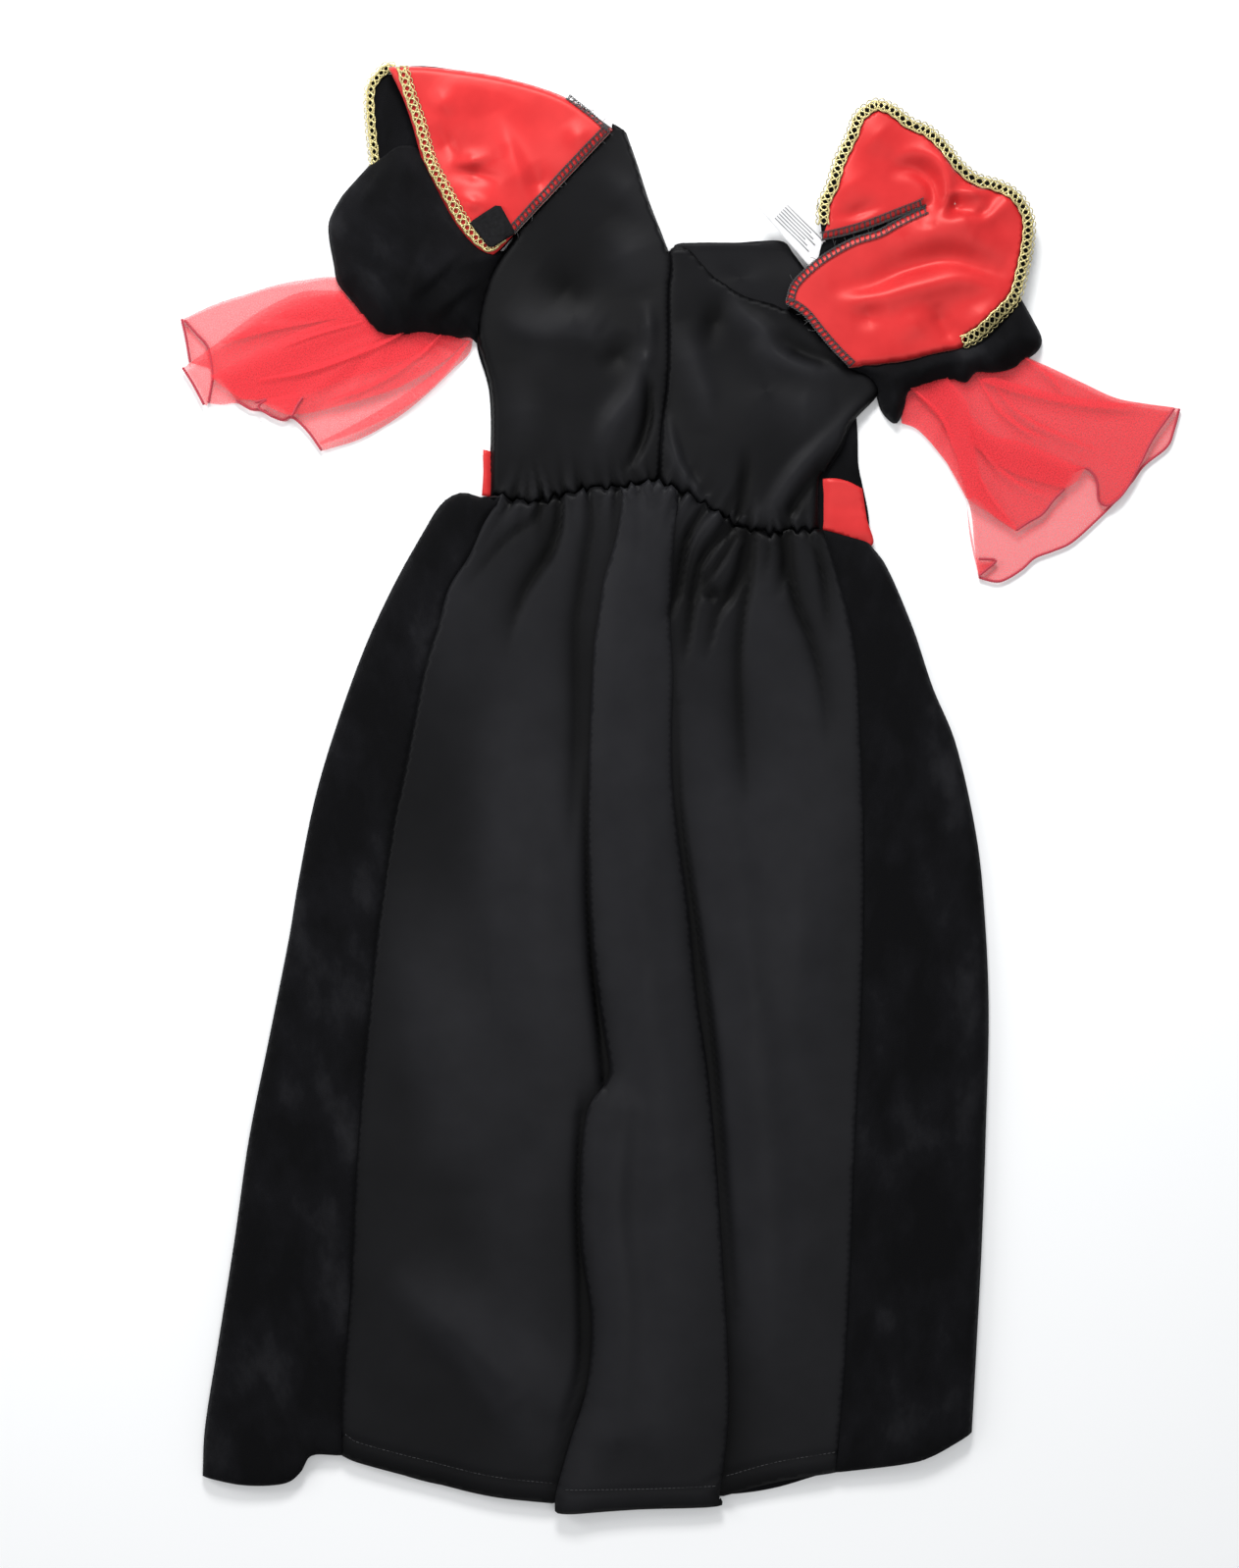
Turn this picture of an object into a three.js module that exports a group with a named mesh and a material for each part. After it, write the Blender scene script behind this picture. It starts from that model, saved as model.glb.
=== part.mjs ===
// A child's long fancy-dress gown laid flat, back side up, with its two big collars spread out.
// Millimetres. +X to the wearer's right as it lies, +Y towards the collars, +Z up off the floor.
// The origin is on the floor, under the middle of the garment's bounding box.
import * as THREE from 'three';

// ---- Driving dimensions ----
const GARMENT_WIDTH = 710; // flounce tip to flounce tip
const SKIRT_LENGTH = 700; // waist to hem
const BODICE_LENGTH = 320; // waist to collar point
const FRONT_CLOTH = 2.8; // front layer, lying on the floor
const BACK_CLOTH = 5.6; // gathered back layer of the skirt
const PLEAT_RISE = 3; // the centre pleat stands above the cloth beside it
const SASH_CLOTH = 1.2;
const FACING_CLOTH = 0.9;
const COLLAR_BACKING = 3.6;
const COLLAR_STIFFENER = 0.7;
const COLLAR_SATIN = 1.6;
const TRIM_WIDTH = 9; // gold lace
const TRIM_THICKNESS = 1.6;
const LACE_CLEAR = 2; // between the lace and the satin inside it
const OVERLOCK_WIDTH = 5;
const OVERLOCK_THICKNESS = 0.9;
const TAPE_THICKNESS = 1.8; // hook-and-loop tape
const ELASTIC_WIDTH = 12;
const CUFF_ELASTIC_WIDTH = 4;
const ELASTIC_THICKNESS = 1;
const PUFF_EDGE = 7; // height of a puff where it meets its seams
const PUFF_RISE = 31; // how far its middle stands above that
const CUFF_HEIGHT = 9;
const FLOUNCE_THICKNESS = 5;
const HEM_WIDTH = 3;
const HEM_CLEAR = 1.2; // between a flounce and the cord rolled into its hem
const LABEL_THICKNESS = 0.5;
const GAP = 0.3; // clearance between layers
const SEAM = 0.6; // clearance between pieces side by side

// The outlines below are drawn for these three sizes and are graded to the ones above.
const DRAWN_WIDTH = 710;
const DRAWN_SKIRT = 700;
const DRAWN_BODICE = 320;
const WAIST_Y = 200;

// ---- Levels, from the floor up ----
const FRONT_TOP = FRONT_CLOTH;
const BACK_LOW = FRONT_TOP + GAP;
const BACK_TOP = BACK_LOW + BACK_CLOTH;
const SASH_TOP = SASH_CLOTH;
const BODICE_FRONT_LOW = SASH_TOP + GAP;
const FACING_TOP = BACK_LOW + FACING_CLOTH;
const BODICE_BACK_LOW = FACING_TOP + GAP;
const LEAF_LOW = TAPE_THICKNESS + GAP;
const LEAF_TOP = LEAF_LOW + COLLAR_BACKING;
const STIFF_LOW = LEAF_TOP + GAP;
const STIFF_TOP = STIFF_LOW + COLLAR_STIFFENER;
const SATIN_LOW = STIFF_TOP + GAP;
const SATIN_TOP = SATIN_LOW + COLLAR_SATIN;
const STITCH_LOW = SATIN_TOP + GAP;
const STITCH_TOP = STITCH_LOW + OVERLOCK_THICKNESS;
const LABEL_LOW = STITCH_TOP + GAP;

// ---- Cloths ----
const look = (color, roughness, metalness = 0, opacity = 1) =>
  new THREE.MeshStandardMaterial({ color, roughness, metalness, opacity, transparent: opacity < 1 });
const blackSatin = look(0x232326, 0.4);
const velvet = look(0x0d0d10, 0.95);
const redSatin = look(0xdd3237, 0.4);
const organza = look(0xea4652, 0.6, 0, 0.6);
const hemCord = look(0xb02038, 0.5);
const goldLace = look(0xc8b878, 0.4, 0.6);
const thread = look(0x101012, 0.8);
const whiteTape = look(0xe9e9e9, 0.7);
const blackTape = look(0x18181a, 0.9);
const stiffener = look(0xd8d6cf, 0.9);

// ---- Helpers ----
const gown = new THREE.Group();

function grade([x, y]) {
  const length = y < WAIST_Y ? SKIRT_LENGTH / DRAWN_SKIRT : BODICE_LENGTH / DRAWN_BODICE;
  return new THREE.Vector2((x * GARMENT_WIDTH) / DRAWN_WIDTH, WAIST_Y + (y - WAIST_Y) * length);
}

// A smooth edge through a few drawn points, as evenly spaced points.
function edge(points, steps = 48) {
  return new THREE.SplineCurve(points.map(grade)).getSpacedPoints(steps);
}

// The edge moved sideways: to its left for a positive distance.
function shift(points, distance) {
  return points.map((point, i) => {
    const before = points[Math.max(0, i - 1)];
    const after = points[Math.min(points.length - 1, i + 1)];
    const along = after.clone().sub(before).normalize();
    return new THREE.Vector2(point.x - along.y * distance, point.y + along.x * distance);
  });
}

function join(...runs) {
  return runs.flat();
}

function pointAt(points, share) {
  const lengths = [0];
  for (let i = 1; i < points.length; i++) {
    lengths.push(lengths[i - 1] + points[i].distanceTo(points[i - 1]));
  }
  const target = share * lengths.at(-1);
  const next = Math.max(1, lengths.findIndex((length) => length >= target - 1e-9));
  const part = (target - lengths[next - 1]) / (lengths[next] - lengths[next - 1]);
  return points[next - 1].clone().lerp(points[next], part);
}

// A closed solid between two edges that run the same way, flat below and domed by rise above.
function panel(name, a, b, low, high, material, { along = 24, across = 1, rise = 0 } = {}) {
  const vertices = [];
  const faces = [];
  const row = across + 1;
  const top = (i, j) => i * row + j;
  const under = (i, j) => (along + 1) * row + top(i, j);
  for (const isTop of [true, false]) {
    for (let i = 0; i <= along; i++) {
      const from = pointAt(a, i / along);
      const to = pointAt(b, i / along);
      for (let j = 0; j <= across; j++) {
        const { x, y } = from.clone().lerp(to, j / across);
        const swell = Math.sin((Math.PI * i) / along) * Math.sin((Math.PI * j) / across);
        vertices.push(x, y, isTop ? high + rise * Math.sqrt(Math.max(0, swell)) : low);
      }
    }
  }
  const quad = (p, q, r, s) => faces.push(p, q, r, p, r, s);
  for (let i = 0; i < along; i++) {
    for (let j = 0; j < across; j++) {
      quad(top(i, j), top(i + 1, j), top(i + 1, j + 1), top(i, j + 1));
      quad(under(i, j), under(i, j + 1), under(i + 1, j + 1), under(i + 1, j));
    }
    quad(top(i, 0), under(i, 0), under(i + 1, 0), top(i + 1, 0));
    quad(top(i, across), top(i + 1, across), under(i + 1, across), under(i, across));
  }
  for (let j = 0; j < across; j++) {
    quad(top(0, j), top(0, j + 1), under(0, j + 1), under(0, j));
    quad(top(along, j), under(along, j), under(along, j + 1), top(along, j + 1));
  }
  const geometry = new THREE.BufferGeometry();
  geometry.setAttribute('position', new THREE.Float32BufferAttribute(vertices, 3));
  geometry.setIndex(faces);
  if (volume(vertices, faces) < 0) {
    geometry.setIndex(faces.reverse());
  }
  geometry.computeVertexNormals();
  const mesh = new THREE.Mesh(geometry, material);
  mesh.name = name;
  gown.add(mesh);
}

function volume(vertices, faces) {
  const corner = (k) => new THREE.Vector3().fromArray(vertices, 3 * faces[k]);
  let total = 0;
  for (let k = 0; k < faces.length; k += 3) {
    total += corner(k).dot(corner(k + 1).cross(corner(k + 2)));
  }
  return total;
}

// ---- Skirt, below the line that the waist folds on ----
const fold = edge([[-140, 198], [-100, 191], [-20, 178], [60, 164.6], [140, 151.2]]);
const foldPart = (from, to) =>
  Array.from({ length: 9 }, (_, i) => pointAt(fold, from + ((to - from) * i) / 8));
const aboveFold = SEAM / 2;

const sideLeft = edge([[-142, 197], [-176, 190], [-205, 140], [-226, 94], [-247, 35], [-272, -70],
  [-293, -182], [-317, -322], [-340, -494]]);
const seamLeft = edge([[-131, 196], [-150, 162], [-170, 119], [-195, 14], [-216, -112], [-223, -182],
  [-234, -350], [-241, -477]]);
const pleatLeft = edge([[-41, 181], [-61, 101], [-65, 7], [-62, -119], [-71, -280], [-66, -426],
  [-89, -514]]);
const pleatRight = edge([[-2, 174], [-7, 119], [-4, -13], [12, -149], [30, -330], [34, -456], [28, -511]]);
const seamRight = edge([[107, 156], [120, 119], [127, 43], [131, -42], [130, -140], [122, -350],
  [111, -489]]);
const sideRight = edge([[138, 150], [148, 142], [166, 112], [180, 70], [197, 28], [217, -91], [220, -161],
  [215, -329], [208, -462]]);

panel('front_skirt', sideLeft, sideRight, 0, FRONT_TOP, velvet);
panel('skirt_side_left', sideLeft, shift(seamLeft, -SEAM / 2), BACK_LOW, BACK_TOP, velvet);
panel('back_skirt_left', shift(seamLeft, SEAM / 2), shift(pleatLeft, -SEAM / 2), BACK_LOW, BACK_TOP,
  blackSatin);
panel('back_skirt_centre', shift(pleatLeft, SEAM / 2), shift(pleatRight, -SEAM / 2), BACK_LOW,
  BACK_TOP + PLEAT_RISE, blackSatin);
panel('back_skirt_right', shift(pleatRight, SEAM / 2), shift(seamRight, -SEAM / 2), BACK_LOW, BACK_TOP,
  blackSatin);
panel('skirt_side_right', shift(seamRight, SEAM / 2), sideRight, BACK_LOW, BACK_TOP, velvet);

// ---- Bodice, above that line ----
const gatherLeft = edge([[-137, 203], [-99, 202], [-61, 206], [-20, 211.5], [-15, 212]], 16);
const gatherRight = edge([[-15, 212], [10, 203], [42, 184], [67, 179], [98, 182]], 16);
const gather = join(gatherLeft, gatherRight.slice(1));
panel('waist_casing', shift(gather, -SEAM), shift(foldPart(0.01, 0.86), aboveFold),
  BACK_LOW + ELASTIC_THICKNESS + GAP, BACK_TOP, blackSatin, { along: 30 });
panel('waist_elastic', shift(foldPart(0.02, 0.85), aboveFold + 1),
  shift(foldPart(0.02, 0.85), aboveFold + 1 + ELASTIC_WIDTH / 2), BACK_LOW,
  BACK_LOW + ELASTIC_THICKNESS, whiteTape);
panel('sash', edge([[-140, 236], [-60, 224], [30, 212], [129, 212]]),
  edge([[-142, 203], [-60, 190], [30, 176], [137, 158]]), 0, SASH_TOP, redSatin);
panel('front_bodice',
  edge([[-138, 204], [-134, 239], [-135, 281], [-144, 317], [-138, 355], [-119, 382], [-60, 384], [-10, 379],
    [12, 383], [69, 384]], 60),
  edge([[-134, 203], [-90, 194], [-20, 183], [60, 169.5], [129, 160], [127, 205], [127, 231], [126, 250],
    [118, 291], [106, 303], [94, 316], [84, 328], [73, 339], [70, 362], [70, 383]], 60),
  BODICE_FRONT_LOW, FRONT_TOP, velvet, { along: 40 });
panel('front_neck_facing', edge([[-5, 381], [12, 385], [41, 385], [73, 385], [84, 370]]),
  edge([[-5, 366], [24, 352], [46, 341], [64, 338], [74, 345]]), BACK_LOW, FACING_TOP, blackSatin);

const armholeLeft = edge([[-135, 207], [-134, 239], [-135, 281], [-143, 317], [-142, 345], [-117, 391]]);
const centreLeft = edge([[-16.5, 215], [-13.5, 252], [-9.5, 284], [-9, 349], [-9, 378], [-22, 416],
  [-31, 441], [-38, 463]]);
panel('back_bodice_left', shift(armholeLeft, -SEAM), centreLeft, BODICE_BACK_LOW, BACK_TOP, blackSatin);
panel('back_bodice_right', edge([[-14.5, 215], [-12, 252], [-8, 284], [-8, 349], [-7, 377]]),
  edge([[97, 183], [98, 220], [121, 256], [136, 277], [132, 285], [118.5, 295]]), BODICE_BACK_LOW, BACK_TOP,
  blackSatin);

// ---- Collars: a stiffened leaf of velvet and satin, edged with lace, overlocked at the neck ----
// back and front are the leaf's long edges, and satinBack and satinFront are those of its satin.
function collar(side, low, back, front, satinBack, satinFront) {
  const grid = { along: 40 };
  panel(`collar_${side}_backing`, back, front, low, LEAF_TOP, velvet, grid);
  panel(`collar_${side}_stiffener`, satinBack, satinFront, STIFF_LOW, STIFF_TOP, stiffener, grid);
  panel(`collar_${side}_facing`, satinBack, satinFront, SATIN_LOW, SATIN_TOP, redSatin, grid);
}

function lace(name, line) {
  const top = STIFF_LOW + TRIM_THICKNESS;
  panel(name, line, shift(line, TRIM_WIDTH), STIFF_LOW, top, goldLace, { along: 40 });
}

function overlock(name, line) {
  panel(name, line, shift(line, OVERLOCK_WIDTH), STITCH_LOW, STITCH_TOP, thread, { along: 12 });
}

function tape(name, a, b, low) {
  panel(name, edge(a, 2), edge(b, 2), low, low + TAPE_THICKNESS, blackTape, { along: 2 });
}

const crestLeft = edge([[-212, 514], [-177, 511], [-128, 504], [-83, 490], [-50, 468]]);
const lowerLeafLeft = join(
  edge([[-213, 513], [-221, 502], [-225, 491], [-224, 468], [-221, 444]], 12),
  edge([[-209, 450], [-194, 458], [-188, 452]], 6),
);
const upperLeafLeft = edge([[-206, 507], [-197, 488], [-190, 468], [-182, 437], [-172, 421], [-160, 399],
  [-147, 385], [-136, 377.5], [-129, 382]]);
const neckEndLeft = [grade([-119, 391.5])];
const satinCrestLeft = edge([[-194, 510], [-177, 508.5], [-128, 501.5], [-83, 488], [-51, 466]]);
const satinLeft = join(shift(upperLeafLeft, TRIM_WIDTH + LACE_CLEAR).slice(4, -6), neckEndLeft);
collar('left', 0, crestLeft, join(lowerLeafLeft, upperLeafLeft.slice(20), neckEndLeft), satinCrestLeft,
  satinLeft);
lace('collar_left_trim_upper', upperLeafLeft.slice(2, -7));
lace('collar_left_trim_lower', edge([[-223, 499], [-225, 491], [-224, 468], [-221, 446]], 24));
overlock('collar_left_overlock', edge([[-118, 393], [-83, 430], [-51, 464]], 12));
tape('hook_tape', [[-149, 398], [-129, 411]], [[-134, 381], [-118.5, 393]], STITCH_TOP + GAP);

const neckRight = edge([[101, 390], [128, 398], [155, 408], [176, 412], [152, 397], [125, 384.5], [101, 371],
  [82, 355], [75.5, 343]]);
const outerRight = edge([[97, 397], [98, 413], [109, 443], [118, 462], [132, 483], [152, 482], [177, 467],
  [199, 443], [225, 429], [245, 414], [251, 395], [246, 362], [226, 328], [202, 311]], 72);
const hemRight = edge([[200, 311], [182, 307], [162, 302], [141, 299], [121, 297]], 16);
const frontRight = edge([[119, 298], [108, 309], [97, 322], [87, 334], [76.5, 341]], 12);
collar('right', LEAF_LOW, neckRight, join(outerRight, hemRight, frontRight), neckRight,
  join(shift(outerRight, -TRIM_WIDTH - LACE_CLEAR).slice(4, -7), hemRight.slice(1), frontRight));
lace('collar_right_trim', shift(outerRight, -TRIM_WIDTH).slice(2, -9));
overlock('collar_right_overlock_upper', edge([[102, 391], [128, 399], [155, 409], [170, 413]], 12));
overlock('collar_right_overlock_lower',
  edge([[165, 400], [152, 391.5], [125, 378.5], [101, 364], [82, 347]], 12));
tape('loop_tape', [[132, 410], [152, 418]], [[126, 430], [147, 438]], 0);
panel('care_label', edge([[53, 411], [93, 368]], 6), edge([[70, 413], [107, 382]], 6), LABEL_LOW,
  LABEL_LOW + LABEL_THICKNESS, whiteTape, { along: 6 });

// ---- Sleeves: a velvet puff, a gathered cuff over its elastic, an organza flounce and its rolled hem ----
function sleeve(side, { puffHead, puffFoot, cuffHead, cuffFoot, root, tip, hemRun }) {
  const hem = shift(tip, -HEM_CLEAR).slice(...hemRun);
  const elasticLine = shift(cuffFoot, SEAM).slice(4, -4);
  panel(`puff_${side}`, puffHead, puffFoot, 0, PUFF_EDGE, velvet, { along: 24, across: 10, rise: PUFF_RISE });
  panel(`cuff_${side}`, cuffHead, cuffFoot, ELASTIC_THICKNESS + GAP, CUFF_HEIGHT, organza);
  panel(`cuff_elastic_${side}`, elasticLine, shift(elasticLine, CUFF_ELASTIC_WIDTH), 0, ELASTIC_THICKNESS,
    whiteTape, { along: 16 });
  panel(`flounce_${side}`, root, tip, 0, FLOUNCE_THICKNESS, organza, { along: tip.length - 1 });
  panel(`flounce_hem_${side}`, hem, shift(hem, -HEM_WIDTH), 0, HEM_WIDTH, hemCord, { along: hem.length - 1 });
}

sleeve('left', {
  puffHead: edge([[-219, 441], [-208, 446], [-197, 449], [-188, 438], [-177, 420], [-164, 397], [-150, 382],
    [-139, 374], [-139, 366], [-147, 336], [-147, 320]]),
  puffFoot: edge([[-223, 438], [-242, 418], [-250, 395], [-247, 373], [-236, 347], [-213, 325], [-185, 325],
    [-148, 320]]),
  cuffHead: edge([[-247, 352], [-237, 345], [-214, 322.5], [-185, 322.5], [-148, 317.5]]),
  cuffFoot: edge([[-258, 335.2], [-212, 315.3], [-166, 295.5]]),
  root: edge([[-298, 351.4], [-232, 323], [-166, 294.5]]),
  tip: edge([[-309, 350], [-331, 343], [-353, 333], [-352, 321], [-348, 300], [-338, 273], [-314, 272],
    [-291, 263], [-265, 253], [-254, 239], [-227, 248], [-201, 263], [-181, 279]], 72),
  hemRun: [13, 51],
});
sleeve('right', {
  puffHead: edge([[125, 295], [141, 296.5], [162, 299.5], [182, 304], [203, 308], [215, 314], [228, 326],
    [241, 342]]),
  puffFoot: edge([[128, 291], [138, 283], [142, 270], [151, 261], [165, 279], [182, 287], [204, 288],
    [223, 294], [245, 304], [254, 312]]),
  cuffHead: edge([[156, 258.5], [166, 278], [183, 285.5], [205, 286], [224, 292.5], [246, 302]]),
  cuffFoot: edge([[159, 253], [206, 277.5], [252, 301.5]]),
  root: edge([[160, 252], [206, 276], [253, 300.5]]),
  tip: edge([[213, 149], [234, 149], [266, 168], [293, 188], [330, 226],
    [349, 244], [354, 268]], 60),
  hemRun: [0, 60],
});

export default gown;
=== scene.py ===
# A child's fancy-dress gown lying flat, back side up. Lengths are in millimetres until a mesh is made.
import math

import bpy
import numpy as np
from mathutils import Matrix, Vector, geometry


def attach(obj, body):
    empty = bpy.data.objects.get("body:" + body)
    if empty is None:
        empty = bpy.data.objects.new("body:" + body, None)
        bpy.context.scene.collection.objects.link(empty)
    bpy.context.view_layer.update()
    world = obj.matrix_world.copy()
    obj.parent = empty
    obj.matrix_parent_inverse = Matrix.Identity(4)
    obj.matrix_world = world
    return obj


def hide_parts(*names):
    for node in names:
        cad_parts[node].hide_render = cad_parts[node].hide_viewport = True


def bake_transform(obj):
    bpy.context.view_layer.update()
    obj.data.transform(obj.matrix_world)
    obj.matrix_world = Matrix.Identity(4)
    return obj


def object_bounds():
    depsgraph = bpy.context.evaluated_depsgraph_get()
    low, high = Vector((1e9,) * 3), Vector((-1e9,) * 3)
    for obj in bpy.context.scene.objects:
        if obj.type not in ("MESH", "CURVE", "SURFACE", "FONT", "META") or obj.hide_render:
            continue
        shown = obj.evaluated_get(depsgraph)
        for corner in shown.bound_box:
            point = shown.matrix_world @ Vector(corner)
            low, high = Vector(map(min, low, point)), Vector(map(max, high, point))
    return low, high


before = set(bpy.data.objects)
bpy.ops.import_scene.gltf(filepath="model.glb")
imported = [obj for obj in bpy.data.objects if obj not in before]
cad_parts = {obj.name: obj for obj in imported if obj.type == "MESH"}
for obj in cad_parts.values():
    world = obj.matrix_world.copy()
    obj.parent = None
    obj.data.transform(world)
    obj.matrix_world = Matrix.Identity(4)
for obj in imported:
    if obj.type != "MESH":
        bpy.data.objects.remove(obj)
CAD_BOX = [list(corner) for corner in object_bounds()]
MM = 0.001
FOLD_PITCH = 6  # spacing of the points on a fold's line
WAIST_RUN = 240  # about the length of the gathered seam
SLEEVE_REACH = 150  # from a gathered cuff to the tip of its flounce
BRAID_REPEAT = 10.0
HEM_TWIST = 3.4

# ---------------------------------------------------------------- outlines shared by several pieces
SIDE_LEFT = [(-142, 205), (-156, 208), (-170, 200), (-184, 178), (-205, 140), (-226, 94), (-247, 35),
    (-261, -14), (-272, -70), (-279, -112), (-293, -182), (-307, -252), (-317, -322), (-328, -392),
    (-338, -455), (-340, -492)]
SIDE_RIGHT = [(135, 172), (148, 154), (166, 112), (180, 70), (197, 28), (211, -35), (217, -91),
    (220, -161), (218, -245), (215, -329), (211, -406), (208, -461)]
SEAM_LEFT = [(-127, 204), (-139, 186), (-150, 162), (-164, 140), (-172, 112), (-182, 80), (-195, 14),
    (-205, -35), (-216, -112), (-223, -182), (-230, -266), (-234, -350), (-239, -420), (-241, -477)]
SEAM_RIGHT = [(102, 181), (111, 151), (120, 119), (126, 83), (128, 43), (131, -42), (130, -140),
    (125, -245), (121, -350), (117, -420), (111, -489)]
GATHER = [(-137, 204), (-130, 206), (-115, 202), (-99, 202), (-83, 206), (-70, 209), (-61, 211),
    (-43, 211), (-27, 214), (-20, 216), (-10, 213), (-1, 209), (10, 204), (22, 196), (33, 190),
    (42, 184), (54, 181), (67, 179), (76, 182), (85, 181), (99, 182)]
PLEAT_LEFT = [(-41, 206), (-43, 188), (-47, 169), (-54, 146), (-58, 119), (-61, 101), (-63, 66),
    (-65, 7), (-65, -58), (-62, -119), (-57, -159), (-50, -200), (-53, -212), (-66, -232), (-71, -280),
    (-70, -330), (-63, -378), (-66, -426), (-78, -466), (-88, -502), (-89, -514)]
PLEAT_RIGHT = [(-1, 206), (-4, 181), (-6, 135), (-7, 119), (-5, 77), (-6, 38), (-4, -13), (6, -88),
    (12, -149), (20, -204), (26, -270), (30, -330), (34, -406), (34, -456), (28, -508)]
HEM_VELVET_LEFT = [(-340, -492), (-310, -498), (-282, -497), (-270, -489), (-262, -477), (-241, -477)]
HEM_SATIN = [(-241, -477), (-226, -483), (-177, -496), (-135, -506), (-91, -511)]
HEM_FLAP = [(-89, -513), (-83, -518), (-29, -515), (26, -513), (29, -507)]
HEM_SATIN_RIGHT = [(31, -506), (68, -496), (111, -489)]
HEM_VELVET_RIGHT = [(111, -489), (159, -483), (180, -477), (208, -461)]
CENTRE_SEAM = [(-8, 380), (-6, 370), (-8, 349), (-8, 315), (-9, 284), (-13, 252), (-15, 215)]
NECK_SEAM_LEFT = [(-117, 392), (-48, 465)]


# ---------------------------------------------------------------- curves and regions
def smooth(points, pitch=3.0):
    """A smooth curve through the points, as points spaced pitch apart."""
    p = np.array(points, float)
    if len(p) > 2:
        ends = np.vstack([2 * p[0] - p[1], p, 2 * p[-1] - p[-2]])
        t = np.linspace(0, 1, 12, endpoint=False)[:, None]
        runs = []
        for a, b, c, d in zip(ends, ends[1:], ends[2:], ends[3:]):
            runs.append(0.5 * (2 * b + (c - a) * t + (2 * a - 5 * b + 4 * c - d) * t**2
                               + (3 * b - a - 3 * c + d) * t**3))
        p = np.vstack(runs + [p[-1:]])
    return evenly(p, pitch)


def run_lengths(p):
    """The distance along the points p to each of them."""
    return np.concatenate([[0], np.cumsum(np.linalg.norm(np.diff(p, axis=0), axis=1))])


def tangents(p):
    """Unit tangents at the points p."""
    tangent = np.gradient(p, axis=0)
    return tangent / np.linalg.norm(tangent, axis=1)[:, None]


def leftward(tangent):
    return np.column_stack([-tangent[:, 1], tangent[:, 0]])


def evenly(p, pitch):
    run = run_lengths(p)
    count = max(2, round(run[-1] / pitch) + 1)
    at = np.linspace(0, run[-1], count)
    return np.column_stack([np.interp(at, run, p[:, k]) for k in range(p.shape[1])])


def loop(*runs, pitch=3.0):
    """A closed outline from several smooth runs, without repeated points."""
    p = np.vstack([smooth(run, pitch) for run in runs])
    keep = np.linalg.norm(p - np.roll(p, 1, axis=0), axis=1) > 0.3 * pitch
    return p[keep]


def nearest(x, y, path):
    """Each point's signed distance to the path, positive on its left, and the share of its length there."""
    a, b = path[:-1], path[1:]
    step = b - a
    length = np.linalg.norm(step, axis=1)
    start = np.concatenate([[0], np.cumsum(length)])
    best = np.full(x.shape, 1e9)
    side = np.zeros(x.shape)
    share = np.zeros(x.shape)
    for k in range(len(a)):
        rx, ry = x - a[k, 0], y - a[k, 1]
        t = np.clip((rx * step[k, 0] + ry * step[k, 1]) / (length[k] ** 2 + 1e-12), 0, 1)
        distance = np.hypot(rx - t * step[k, 0], ry - t * step[k, 1])
        closer = distance < best
        best = np.where(closer, distance, best)
        side = np.where(closer, np.sign(step[k, 0] * ry - step[k, 1] * rx), side)
        share = np.where(closer, (start[k] + t * length[k]) / start[-1], share)
    return best * np.where(side == 0, 1, side), share


def inside(x, y, outline):
    a, b = outline, np.roll(outline, -1, axis=0)
    hits = np.zeros(x.shape, int)
    for (ax, ay), (bx, by) in zip(a, b):
        crosses = (ay > y) != (by > y)
        if by != ay:
            hits += crosses & (x < (bx - ax) * (y - ay) / (by - ay) + ax)
    return hits % 2 == 1


def noise(x, y, scale, seed):
    """Smooth noise from -1 to 1 with features about scale across."""
    lattice = np.random.default_rng(seed).uniform(-1, 1, (64, 64))
    u, v = x / scale + 500.0, y / scale + 500.0
    i, j = np.floor(u).astype(int), np.floor(v).astype(int)
    s, t = u - i, v - j
    s, t = s * s * (3 - 2 * s), t * t * (3 - 2 * t)
    corner = lambda di, dj: lattice[(i + di) % 64, (j + dj) % 64]
    return (corner(0, 0) * (1 - s) * (1 - t) + corner(1, 0) * s * (1 - t) + corner(0, 1) * (1 - s) * t
            + corner(1, 1) * s * t)


def step(v, low, high):
    t = np.clip((v - low) / (high - low), 0, 1)
    return t * t * (3 - 2 * t)


def away_from(x, y, path):
    return np.abs(nearest(x, y, smooth(path, FOLD_PITCH))[0])


def across_fold(x, y, path, heights):
    """Signed distance from the path, and the fold's height at the nearest point of it."""
    d, share = nearest(x, y, smooth(path, FOLD_PITCH))
    return d, np.interp(share, np.linspace(0, 1, len(heights)), heights)


def ridge(x, y, path, heights, left, right):
    """A rounded fold along the path, with its widths left and right of it."""
    d, height = across_fold(x, y, path, heights)
    return height * np.exp(-((d / np.where(d > 0, left, right)) ** 2))


def with_folds(z, x, y, folds, gain=1.0):
    for path, heights, left, right in folds:
        z = z + gain * ridge(x, y, path, heights, left, right)
    return z


def rolled(x, y, path, radius):
    """0 at the path, rising as a quarter circle to 1 at radius from it."""
    t = np.clip(away_from(x, y, path) / radius, 0, 1)
    return np.sqrt(1 - (1 - t) ** 2)


def at_level(level):
    return lambda x, y: level + 0 * x


# ---------------------------------------------------------------- materials
def tree(name):
    material = bpy.data.materials.new(name)
    material.use_nodes = True
    nodes = material.node_tree.nodes
    return material, nodes, material.node_tree.links, nodes["Principled BSDF"]


def settle(node, values):
    for socket, value in values.items():
        node.inputs[socket].default_value = value


def mapped(nodes, links, scale, rotation=0.0):
    """Texture coordinates in metres on the cloth, scaled."""
    uv = nodes.new("ShaderNodeUVMap")
    mapping = nodes.new("ShaderNodeMapping")
    settle(mapping, {"Scale": scale, "Rotation": (0, 0, rotation)})
    links.new(uv.outputs["UV"], mapping.inputs["Vector"])
    return mapping.outputs["Vector"]


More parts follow.
